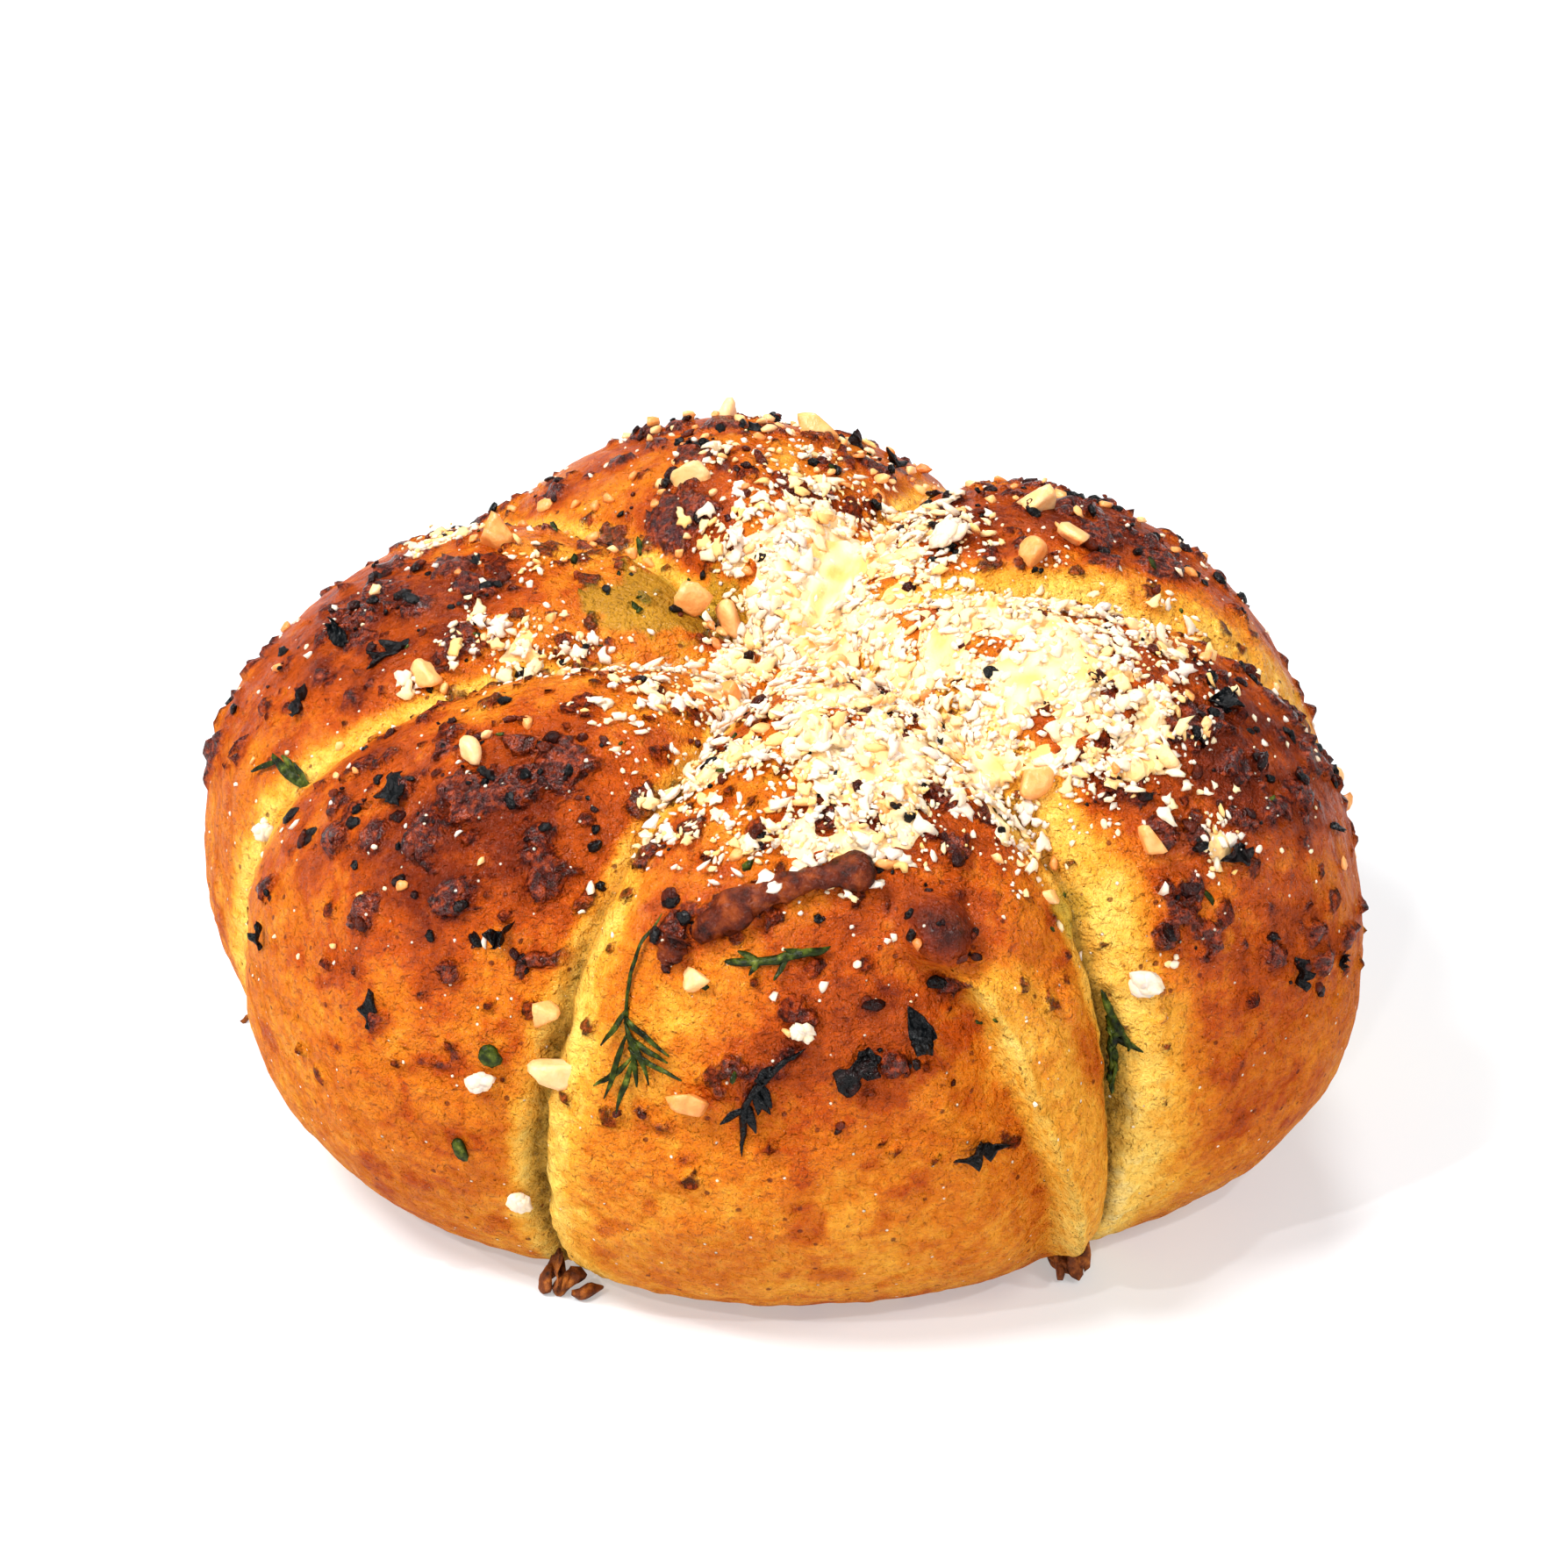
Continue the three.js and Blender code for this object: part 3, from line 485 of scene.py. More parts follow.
class Shader:
    """A node material that is put together a line at a time."""

    def __init__(self, name, roughness=0.5, specular=0.5, coat=0.0, coat_roughness=0.2):
        self.material = bpy.data.materials.new(name)
        self.material.use_nodes = True
        self.tree = self.material.node_tree
        self.surface = self.tree.nodes["Principled BSDF"]
        self.set("Roughness", roughness)
        self.set("Specular IOR Level", specular)
        self.set("Coat Weight", coat)
        self.set("Coat Roughness", coat_roughness)
        self.place = self.node("TexCoord").outputs["Object"]

    def feed(self, socket, value):
        if isinstance(value, bpy.types.NodeSocket):
            self.tree.links.new(value, socket)
        else:
            socket.default_value = value

    def set(self, label, value):
        """Gives a value or a texture to the surface itself."""
        self.feed(self.surface.inputs[label], value)

    def node(self, kind, **sockets):
        """A new node, with the sockets that are named here fed."""
        made = self.tree.nodes.new("ShaderNode" + kind)
        for label, value in sockets.items():
            self.feed(made.inputs[label], value)
        return made

    def attribute(self, name):
        made = self.node("Attribute")
        made.attribute_name = name
        return made.outputs["Fac"]

    def noise(self, size, detail):
        """Noise from 0 to 1 in lumps that are about size mm across."""
        scale = 1 / (size * MM)
        made = self.node("TexNoise", Vector=self.place, Scale=scale, Detail=detail, Roughness=0.55)
        return made.outputs["Fac"]

    def dots(self, size, radius, share):
        """1 in small round dots, size mm apart, in the given share of the cells."""
        made = self.node("TexVoronoi", Vector=self.place, Scale=1 / (size * MM))
        cell = self.node("SeparateColor", Color=made.outputs["Color"]).outputs[0]
        inside = self.ramp(made.outputs["Distance"], [(radius * 0.6, 1), (radius, 0)])
        return self.times(inside, self.math("LESS_THAN", cell, share))

    def math(self, operation, first, second):
        made = self.node("Math")
        made.operation = operation
        self.feed(made.inputs[0], first)
        self.feed(made.inputs[1], second)
        return made.outputs[0]

    def times(self, first, second):
        return self.math("MULTIPLY", first, second)

    def varied(self, value, texture, amount):
        """A value that a texture from 0 to 1 raises or lowers by up to half the amount."""
        return self.math("ADD", value, self.times(self.math("SUBTRACT", texture, 0.5), amount))

    def translucent(self, weight, radius, depth):
        """Lets light into the surface, depth mm deep."""
        self.set("Subsurface Weight", weight)
        self.set("Subsurface Radius", radius)
        self.set("Subsurface Scale", depth * MM)

    def ramp(self, factor, stops):
        """A colour ramp. Each stop is (position, grey level) or (position, (red, green, blue))."""
        made = self.node("ValToRGB", Fac=factor)
        elements = made.color_ramp.elements
        while len(elements) < len(stops):
            elements.new(0.5)
        for element, (position, tone) in zip(elements, stops):
            element.position = position
            element.color = linear(*tone) if isinstance(tone, tuple) else (tone, tone, tone, 1)
        return made.outputs["Color"]

    def mix(self, factor, first, second):
        """The first colour where the factor is 0, the second where it is 1."""
        made = self.node("Mix")
        made.data_type = "RGBA"
        self.feed(made.inputs[0], factor)
        self.feed(made.inputs[6], first)
        self.feed(made.inputs[7], second)
        return made.outputs[2]

    def bump(self, height, depth, strength=1.0, below=None):
        """Fine relief. Height 0 to 1 stands for depth mm."""
        made = self.node("Bump", Height=height, Distance=depth * MM, Strength=strength)
        if below is not None:
            self.feed(made.inputs["Normal"], below)
        return made.outputs["Normal"]

    def finish(self, colour, normal=None):
        self.set("Base Color", colour)
        if normal is not None:
            self.set("Normal", normal)
            self.set("Coat Normal", normal)
        return self.material


def crust_material():
    """Egg-washed, buttered crust: pale in the cuts, golden low down, brown to mahogany on the crests."""
    s = Shader("buttered_crust", specular=0.0, coat_roughness=0.1)
    s.set("Coat Weight", s.times(s.attribute("gloss"), 0.6))
    middling, fine = s.noise(4.5, 4), s.noise(1.1, 3)
    tone = s.varied(s.varied(s.attribute("bake"), middling, 0.24), fine, 0.3)
    stops = [(0.0, (255, 230, 152)), (0.15, (250, 202, 94)), (0.3, (234, 158, 48)), (0.45, (208, 112, 22))]
    stops += [(0.6, (174, 70, 10)), (0.78, (114, 36, 6)), (1.0, (56, 14, 4))]
    colour = s.ramp(tone, stops)
    burnt = s.ramp(s.noise(0.8, 3), [(0.36, (30, 6, 3)), (0.5, (84, 20, 6)), (0.64, (150, 54, 14))])
    freckled = s.math("MAXIMUM", s.math("SUBTRACT", s.attribute("bake"), 0.42), 0.0)
    edge = s.math("ADD", s.varied(s.attribute("scab"), fine, 0.9), s.times(freckled, 0.7))
    colour = s.mix(s.ramp(edge, [(0.34, 0), (0.7, 0.93)]), colour, burnt)
    # dark olive laid on more where the tear is deeper: partly the torn crumb's own colour, partly painted
    # shade inside the crack
    torn = s.ramp(fine, [(0.3, (120, 84, 22)), (0.7, (196, 150, 60))])
    melted = s.ramp(fine, [(0.3, (255, 226, 130)), (0.65, (255, 246, 208))])
    colour = s.mix(s.times(s.attribute("oil"), 0.55), colour, linear(146, 132, 34))
    colour = s.mix(s.attribute("torn_crumb_and_shade"), colour, torn)
    colour = s.mix(s.attribute("melt"), colour, melted)
    pores = s.dots(1.5, 0.22, 0.16)
    colour = s.mix(s.times(pores, 0.8), colour, linear(96, 34, 14))
    # small near-white dots: partly cheese dust, partly painted glints that stand in for tiny highlights on
    # the crust's bumps
    dust_and_glints = s.dots(1.1, 0.17, 0.14)
    colour = s.mix(s.times(dust_and_glints, 0.85), colour, linear(255, 240, 214))
    s.set("Roughness", s.math("ADD", s.times(fine, 0.3), 0.3))
    relief = s.bump(s.noise(0.45, 3), 0.6)
    relief = s.bump(s.noise(1.2, 3), 1.1, 0.9, relief)
    relief = s.bump(s.times(s.noise(0.8, 3), s.attribute("scab")), 0.9, 0.9, relief)
    relief = s.bump(pores, -0.15, 0.7, relief)
    return s.finish(colour, s.bump(dust_and_glints, 0.2, 0.8, relief))


def cheese_material():
    """Dry grated cheese: cream white, with yellower and greyer grains among it."""
    s = Shader("grated_cheese", 0.62, specular=0.35)
    s.translucent(0.25, (1.0, 0.8, 0.5), 0.6)
    stops = [(0.0, (242, 182, 100)), (0.2, (244, 207, 148)), (0.5, (240, 219, 188)), (1.0, (222, 204, 192))]
    colour = s.ramp(s.attribute("tint"), stops)
    colour = s.mix(s.ramp(s.noise(0.6, 3), [(0.45, 0), (0.8, 0.4)]), colour, linear(246, 206, 140))
    return s.finish(colour, s.bump(s.noise(0.35, 3), 0.08))


def garlic_material():
    """Fried garlic: waxy gold, browner in places."""
    s = Shader("fried_garlic", 0.42, coat=0.2, coat_roughness=0.3)
    s.translucent(0.2, (1.0, 0.6, 0.25), 0.8)
    tone = s.varied(s.attribute("tint"), s.noise(1.4, 3), 0.7)
    stops = [(0.0, (255, 204, 150)), (0.35, (250, 180, 108)), (0.65, (228, 142, 64)), (1.0, (190, 92, 32))]
    return s.finish(s.ramp(tone, stops), s.bump(s.noise(0.5, 3), 0.12))


def char_material():
    """Burnt black bits, from maroon to a cold black, shiny where they are sharp."""
    s = Shader("charred_leaf", 0.5, specular=0.0, coat=0.4, coat_roughness=0.08)
    tone = s.varied(s.attribute("tint"), s.noise(1.3, 4), 0.9)
    colour = s.ramp(tone, [(0.1, (3, 6, 8)), (0.4, (8, 5, 5)), (0.65, (44, 9, 5)), (0.95, (100, 34, 12))])
    return s.finish(colour, s.bump(s.noise(0.7, 3), 0.7))


def herb_material():
    """Dried green herb, nearly black in places."""
    s = Shader("dried_herb", 0.5, specular=0.0, coat=0.25, coat_roughness=0.1)
    stops = [(0.34, (14, 16, 6)), (0.5, (36, 46, 10)), (0.62, (72, 82, 22)), (0.8, (132, 134, 54))]
    colour = s.ramp(s.noise(1.1, 5), stops)
    return s.finish(colour, s.bump(s.noise(0.5, 4), 0.2))


def onion_material():
    """Fried onion: glossy reddish brown with dark blisters."""
    s = Shader("fried_onion", 0.5, specular=0.0, coat=0.35, coat_roughness=0.08)
    colour = s.ramp(s.noise(1.6, 5), [(0.32, (30, 6, 2)), (0.5, (88, 28, 6)), (0.75, (150, 66, 18))])
    return s.finish(colour, s.bump(s.noise(0.7, 4), 0.6))


def crumb_material():
    """Burnt crumbs: dull dark brown with toasted edges."""
    s = Shader("burnt_crumb", 0.6, specular=0.2)
    colour = s.ramp(s.noise(1.2, 4), [(0.3, (48, 20, 8)), (0.5, (112, 54, 16)), (0.75, (196, 116, 44))])
    return s.finish(colour, s.bump(s.noise(0.7, 4), 0.4))


# ---------- the loaf


def make_crust(points, faces, uvs, known):
    melt = np.clip((known["cheese"] - 0.75) / 0.6, 0, 0.85)
    names = ["bake", "scab", "oil", "torn_crumb_and_shade", "gloss"]
    attributes = [(name, known[name]) for name in names] + [("melt", melt)]
    made = new_mesh("roll_crust", points, faces, crust_material(), attributes)
    layer = made.data.uv_layers.new(name="OFBake")
    layer.data.foreach_set("uv", uvs.astype(np.float32).ravel())
    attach(made, BODY)
    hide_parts("bread_roll")
    return made


def cheese_bed(points, faces, known, material):
    """The part of the cheese that has run together: a lumpy closed sheet that fills the dip and its cuts."""
    way, cheese = known["way"], known["cheese"]
    filling = 0.5 * known["cut"] * smoothstep(0.6, 1.0, cheese)
    height = np.minimum(1.5 * (cheese - 0.55), BED_THICKNESS) + filling + lumps(points, CHEESE_LUMPS)
    used = faces[(height[faces] > -0.4).all(1) & (cheese[faces] > BED_COVER).all(1)]
    kept, slots = np.unique(used, return_inverse=True)
    top = slots.reshape(used.shape)
    count = len(kept)
    upper = points[kept] + way[kept] * height[kept][:, None]
    lower = points[kept] - way[kept] * BED_SUNK
    edges = np.concatenate([top[:, [side, (side + 1) % 4]] for side in range(4)])
    ends = {tuple(edge) for edge in edges}
    rim = np.array([edge for edge in ends if edge[::-1] not in ends])
    walls = np.stack([rim[:, 1], rim[:, 0], rim[:, 0] + count, rim[:, 1] + count], 1)
    quads = np.concatenate([top, top[:, ::-1] + count, walls])
    tint = np.clip(np.tile(0.2 + 0.4 * noise(points[kept], 1.8, 53), 2), 0, 1)
    made = new_mesh("cheese_bed", np.concatenate([upper, lower]), quads, material, [("tint", tint)])
    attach(made, BODY)
    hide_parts("grated_cheese")


# ---------- scattered bits


def points_and_triangles(shape):
    """A bmesh of triangles as two arrays. It is freed."""
    points = np.array([vertex.co[:] for vertex in shape.verts])
    faces = np.array([[vertex.index for vertex in face.verts] for face in shape.faces])
    shape.free()
    return points, faces


def ball_shape(divisions):
    made = bmesh.new()
    bmesh.ops.create_icosphere(made, subdivisions=divisions, radius=1)
    return points_and_triangles(made)


def bit_shapes(count, divisions, jitter, squareness, bend, seed, ragged=0.0):
    """Irregular bits of about unit size, all with the same triangles.

    A squareness of 2 is round and more is boxy. ragged is how deep the waves in a bit's outline are.
    """
    points, faces = ball_shape(divisions)
    random = np.random.RandomState(seed)
    around = np.arctan2(points[:, 1], points[:, 0])
    shapes = []
    for _ in range(count):
        box = (np.abs(points) ** squareness).sum(1) ** (-1 / squareness)
        shape = points * box[:, None] * (1 + jitter * random.uniform(-1, 1, (len(points), 1)))
        for waves in (2, 3, 5):
            shape[:, :2] *= 1 + ragged * np.cos(waves * around + random.uniform(0, 2 * np.pi))[:, None]
        shape[:, 2] += bend * random.uniform(-1, 1) * shape[:, 0] ** 2
        shape[:, 1] += bend * random.uniform(-1, 1) * shape[:, 0] ** 2
        shapes.append(shape)
    return np.array(shapes), faces


def chip_shapes(count, divisions, cuts, seed):
    """Angular chips of about unit size: flat balls that are cut off square in random directions."""
    points, faces = ball_shape(divisions)
    random = np.random.RandomState(seed)
    shapes = []
    for _ in range(count):
        planes = random.normal(0, 1, (cuts, 3))
        planes[: cuts // 2, 2] *= 0.3
        facing = np.maximum(points @ unit(planes).T, 0.001)
        shapes.append(points * np.minimum((random.uniform(0.42, 0.8, cuts) / facing).min(1), 1.25)[:, None])
    return np.array(shapes), faces


def vertex_normals(made):
    normals = np.zeros(len(made.data.vertices) * 3, np.float32)
    made.data.vertices.foreach_get("normal", normals)
    return normals.reshape(-1, 3).astype(float)


def vertex_areas(points, faces):
    """The share of the surface that belongs to each point."""
    a, b, c, d = (points[faces[:, k]] for k in range(4))
    area = np.linalg.norm(np.cross(c - a, d - b), axis=1) / 2
    return np.bincount(faces.ravel(), np.repeat(area / 4, 4), len(points))


class Ground:
    """The finished crust, as the place that bits are scattered over."""

    def __init__(self, made, points, faces, known):
        self.points = points
        self.known = known
        self.normals = vertex_normals(made)
        self.areas = vertex_areas(points, faces)
        self.tree = KDTree(len(points))
        for number, point in enumerate(points):
            self.tree.insert(point, number)
        self.tree.balance()

    def move_at(self, point):
        """How far the finished crust stands proud of the smooth one near a point."""
        return self.known["move"][self.tree.find(point)[1]]

    def drape(self, seat, points):
        """Lays points that were made flat on the crust like a cloth. Their z is the height above it."""
        steps = points[:, :1] * seat.along + points[:, 1:2] * seat.across
        if seat.on_table:
            return seat.foot + steps + points[:, 2:] * seat.out
        way = unit(seat.out + steps / seat.reach)
        radius = crust_radius(way)[0]
        skin = MIDDLE + way * radius[:, None]
        move = np.array([self.move_at(point) for point in skin])
        return skin + way * (move + points[:, 2])[:, None]


class Seat:
    """Where a CAD topping lies: the way out from the roll, along it and across it, and how big it is."""

    def __init__(self, node):
        points = np.array([vertex.co[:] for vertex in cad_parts[node].data.vertices]) / MM
        centre = (points.min(0) + points.max(0)) / 2
        self.on_table = points[:, 2].min() < 0.1
        self.reach = np.linalg.norm(centre - MIDDLE)
        self.out = np.array([0.0, 0.0, 1.0]) if self.on_table else (centre - MIDDLE) / self.reach
        self.foot = np.array([centre[0], centre[1], 0.0])
        flat = points - centre
        flat = flat - np.outer(flat @ self.out, self.out)
        self.along = np.linalg.svd(flat, full_matrices=False)[2][0]
        self.along = self.along * (1 if self.along[2] > 0 else -1)
        self.across = np.cross(self.out, self.along)
        self.length = np.ptp(flat @ self.along)
        self.width = np.ptp(flat @ self.across)
        self.height = np.ptp((points - centre) @ self.out)
        self.sway = np.poly1d(np.polyfit(flat @ self.along, flat @ self.across, 2))


def scatter(name, ground, density, shapes, sizes, look, seed, sunk, layers=1, clump=1, tint=(0, 1)):
    """One object of many bits that lie on the crust.

    density: how many heaps lie on a square mm at each point of the crust
    sizes: the smallest and largest (length, width, height) of a bit
    look: the material, the slot and whether the bits are faceted
    sunk, layers: the share of a bit's height under the crust, and how many heights deep the bits lie
    clump: the most bits in a heap
    """
    random = np.random.RandomState(seed)
    weight = np.maximum(density, 0) * ground.areas
    heaps = random.choice(len(weight), int(weight.sum()), p=weight / weight.sum())
    picked = np.repeat(heaps, random.randint(1, clump + 1, len(heaps)))
    count = len(picked)
    outlines, faces = shapes
    low, high = np.array(sizes[0]) / 2, np.array(sizes[1]) / 2
    size = low + (high - low) * random.uniform(0, 1, (count, 1)) ** 1.8 * random.uniform(0.7, 1.2, (count, 3))
    normal = ground.normals[picked]
    up = unit(normal + random.normal(0, 0.25, (count, 3)))
    along = unit(np.cross(up, random.normal(0, 1, (count, 3))))
    across = np.cross(up, along)
    level = size[:, 2] * (1 - 2 * sunk + 1.5 * (layers - 1) * random.uniform(0, 1, count) ** 2)
    shift = random.normal(0, 0.2 + 0.22 * (clump - 1), (count, 3))
    shift -= normal * np.sum(shift * normal, axis=1, keepdims=True)
    spot = ground.points[picked] + shift + normal * level[:, None]
    shape = outlines[random.randint(0, len(outlines), count)] * size[:, None, :]
    points = spot[:, None, :] + shape[..., :1] * along[:, None] + shape[..., 1:2] * across[:, None]
    points = (points + shape[..., 2:] * up[:, None]).reshape(-1, 3)
    points[:, 2] = np.maximum(points[:, 2], 0)
    corners = outlines.shape[1]
    all_faces = faces[None] + (np.arange(count) * corners)[:, None, None]
    tints = np.repeat(random.uniform(*tint, count), corners)
    material, slot, flat = look
    made = new_mesh(name, points, all_faces.reshape(-1, 3), material, [("tint", tints)], flat)
    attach(made, BODY)
    return made


# ---------- toppings with a place of their own


def refined(node, ground, look, cuts, roughen, cell, sink, slim):
    """A finer copy of a CAD topping: thinner and rough-faced, and let down on to the crust."""
    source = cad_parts[node].data
    shape = bmesh.new()
    shape.from_mesh(source)
    bmesh.ops.scale(shape, vec=(1 / MM,) * 3, verts=shape.verts)
    bmesh.ops.remove_doubles(shape, verts=shape.verts, dist=0.004)
    bmesh.ops.triangulate(shape, faces=shape.faces)
    for _ in range(cuts):
        long_edges = [edge for edge in shape.edges if edge.calc_length() > cell]
        bmesh.ops.subdivide_edges(shape, edges=long_edges, cuts=1, smooth=0.0)
        bmesh.ops.triangulate(shape, faces=shape.faces)
    shape.normal_update()
    normals = np.array([vertex.normal[:] for vertex in shape.verts])
    points, faces = points_and_triangles(shape)
    seed = sum(map(ord, node)) % 50 + 60
    points = points + normals * (roughen * noise(points, cell * 2.5, seed) - slim)[:, None]
    centre = points.mean(0)
    drop = CAD_GAP + sink - ground.move_at(centre)
    return placed(node, points - unit(centre - MIDDLE) * drop, faces, look, 0.5)


def placed(node, points, faces, look, tint):
    """The finished object that stands for a CAD topping. Its tint is one number, or one for each point."""
    material, slot, flat = look
    points[:, 2] = np.maximum(points[:, 2], 0)
    made = new_mesh("fine_" + node, points, faces, material, [("tint", np.full(len(points), tint))], flat)
    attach(made, BODY)
    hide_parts(node)
    return made


def crumpled_leaf(node, ground, look, fold, seed, tint):
    """A burnt leaf as one closed sheet: pointed, ragged, folded along its rib and crumpled."""
    seat = Seat(node)
    rows, columns, thickness = 21, 11, 0.42
    random = np.random.RandomState(seed)
    u, v = np.meshgrid(np.linspace(-1, 1, rows), np.linspace(-1, 1, columns), indexing="ij")
    lobes = random.uniform(0.25, 1.2, (2, 7))
    left, right = (np.interp(u[:, 0], np.linspace(-1, 1, 7), lobe)[:, None] for lobe in lobes)
    half = (1 - np.abs(u) ** 1.7) * np.where(v < 0, left, right)
    sway = random.uniform(-0.25, 0.25)
    x = u * seat.length / 2
    y = (v * half + sway * (1 - u * u)) * seat.width / 2
    edge = 1 - np.maximum(np.abs(u), np.abs(v)) ** 8
    lift = 0.25 + fold * np.abs(v) * half + 0.5 * fold * random.uniform(0, 1) * u * u
    middle = np.stack([x, y, lift], -1).reshape(-1, 3)
    crease = 1.0 * noise(middle, 1.8, seed) + 0.4 * noise(middle, 0.9, seed + 1)
    middle[:, 2] = np.maximum(middle[:, 2] + crease, 0.1)
    middle[:, :2] += 0.55 * np.stack([noise(middle, 1.2, seed + 2), noise(middle, 1.2, seed + 3)], -1)
    thick = np.array([0, 0, thickness / 2]) * edge.reshape(-1, 1)
    shape = bmesh.new()
    for side in (1, -1):
        corners = [shape.verts.new(point) for point in middle + side * thick]
        for row, column in itertools.product(range(rows - 1), range(columns - 1)):
            first = row * columns + column
            ring = [first, first + columns, first + columns + 1, first + 1]
            shape.faces.new([corners[number] for number in ring[::side]])
    bmesh.ops.remove_doubles(shape, verts=shape.verts, dist=0.01)
    bmesh.ops.triangulate(shape, faces=shape.faces)
    shape.verts.index_update()
    points, faces = points_and_triangles(shape)
    return placed(node, ground.drape(seat, points), faces, look, tint)


def strand(line, half_width, half_height, ragged, seed):
    """A closed strand along a line of points: its points and triangles. Its section is an oval."""
    sides = 10
    turn = np.linspace(0, 2 * np.pi, sides, endpoint=False)
    ahead = unit(np.gradient(line, axis=0))
    across = np.cross([0.0, 0.0, 1.0], ahead)
    up = np.cross(ahead, across)
    rings = line[:, None] + np.cos(turn)[None, :, None] * (across * np.asarray(half_width)[:, None])[:, None]
    rings = rings + np.sin(turn)[None, :, None] * (up * np.asarray(half_height)[:, None])[:, None]
    points = np.concatenate([rings.reshape(-1, 3), line[:1], line[-1:]])
    for cell in (2.2, 1.0):
        wobble = [noise(points, cell, seed + part) for part in range(3)]
        points = points + ragged * np.stack(wobble, -1)
        ragged = ragged / 2
    ring, corner = np.meshgrid(np.arange(len(line) - 1), np.arange(sides), indexing="ij")
    following = (corner + 1) % sides
    a, b = ring * sides + corner, ring * sides + following
    walls = np.concatenate([np.stack([a, b, b + sides], -1), np.stack([a, b + sides, a + sides], -1)])
    first, last = len(line) * sides, len(line) * sides + 1
    corner, following = np.arange(sides), (np.arange(sides) + 1) % sides
    end = (len(line) - 1) * sides
    caps = [np.stack([following, corner, corner * 0 + first], 1)]
    caps += [np.stack([corner + end, following + end, corner * 0 + last], 1)]
    return points, np.concatenate([walls.reshape(-1, 3), *caps])


def joined(pieces):
    """Several (points, triangles) as one."""
    counts = np.cumsum([0] + [len(points) for points, _ in pieces[:-1]])
    faces = [faces + count for (_, faces), count in zip(pieces, counts)]
    return np.concatenate([points for points, _ in pieces]), np.concatenate(faces)


def fried_strip(node, ground, look, seed):
    """A strip of onion that has fried into a thick lumpy roll."""
    seat = Seat(node)
    steps = np.linspace(-1, 1, 36)
    ahead = steps * seat.length / 2
    line = np.stack([ahead, seat.sway(ahead), np.full(len(steps), 0.75)], -1)
    random = np.random.RandomState(seed)
    swell = 1 + 0.16 * np.sin(3.1 * steps * np.pi / 2 + random.uniform(0, 6)) + 0.14 * np.sin(9 * steps)
    taper = np.sqrt(1 - np.abs(steps) ** 12) + 0.02
    half = min(0.34 * seat.width, 1.5) * swell * taper
    points, faces = strand(line, half, 0.85 * half, 0.5, seed)
    return placed(node, ground.drape(seat, points), faces, look, 0.5)


def sprig(node, ground, look, leaflets, blade, seed, stem, highest=0.7):
    """A stem with slim leaflets on both sides, which lean to its lower end.

    blade and stem are half widths. highest is where the leaflets stop, from -1 to 1 along the stem.
    """
    seat = Seat(node)
    random = np.random.RandomState(seed)
    steps = np.linspace(-1, 1, 24)
    ahead = steps * seat.length / 2
    lift = 0.45 + 0.3 * np.sin(2.3 * steps + random.uniform(0, 6))
    thick = stem * (1 - steps**6)
    stalk = np.stack([ahead, seat.sway(ahead), lift], -1)
    pieces = [strand(stalk, 0.05 + thick, 0.05 + 0.8 * thick, 0.25, seed)]
    share = np.linspace(0, 1, 9)
    for number in range(leaflets):
        start = random.uniform(-0.9, highest) * seat.length / 2
        lean = (1 if number % 2 else -1) * random.uniform(0.35, 1.0)
        reach = random.uniform(0.4, 0.75) * max(seat.width, 3.0)
        bend = random.uniform(-0.3, 0.3) * reach
        x = start - reach * share * math.cos(lean)
        y = seat.sway(start) + reach * share * math.sin(lean) + bend * share**2
        z = 0.45 + random.uniform(0.1, 0.9) * share
        half = blade * np.sin(np.pi * np.clip(share * 0.9 + 0.08, 0, 1)) + 0.06
        pieces.append(strand(np.stack([x, y, z], -1), half, 0.12 + 0.25 * half, 0.22, seed + number))
    points, faces = joined(pieces)
    return placed(node, ground.drape(seat, points), faces, look, 0.15)


def fallen_shreds(node, look, count, seed):
    """Shreds of burnt crumb that lie beside the roll and lean in on to its foot."""
    seat = Seat(node)
    random = np.random.RandomState(seed)
    inward = -unit(seat.foot)
    share = np.linspace(0, 1, 9)
    pieces = []
    for number in range(count):
        start = seat.foot + 0.35 * seat.length * random.uniform(-1, 1, 3) * [1, 1, 0] + [0, 0, 0.6]
        way = inward * random.uniform(0.5, 3.6) + [0, 0, random.uniform(0.2, 4.2)]
        way = way + np.cross(way, [0, 0, 1]) * random.uniform(-0.6, 0.6)
        line = start + share[:, None] * way
        half = random.uniform(0.55, 1.0) * np.sqrt(1 - (2 * share - 1) ** 4) + 0.05
        pieces.append(strand(line, half, 0.7 * half, 0.6, seed + 5 * number))
    points, faces = joined(pieces)
    return placed(node, points, faces, look, 0.5)


def chip(node, ground, shapes, look, number, tint):
    """An angular chip of the CAD topping's size, pressed a little into the crust."""
    seat = Seat(node)
    outlines, faces = shapes
    points = outlines[number % len(outlines)] * np.array([seat.length, seat.width, seat.height]) * 0.55
    points[:, 2] += 0.32 * seat.height
    steps = points[:, :1] * seat.along + points[:, 1:2] * seat.across + points[:, 2:] * seat.out
    skin = MIDDLE + seat.out * crust_radius(seat.out[None])[0]
    points = skin + seat.out * ground.move_at(skin) + steps
    return placed(node, points, faces, look, tint)


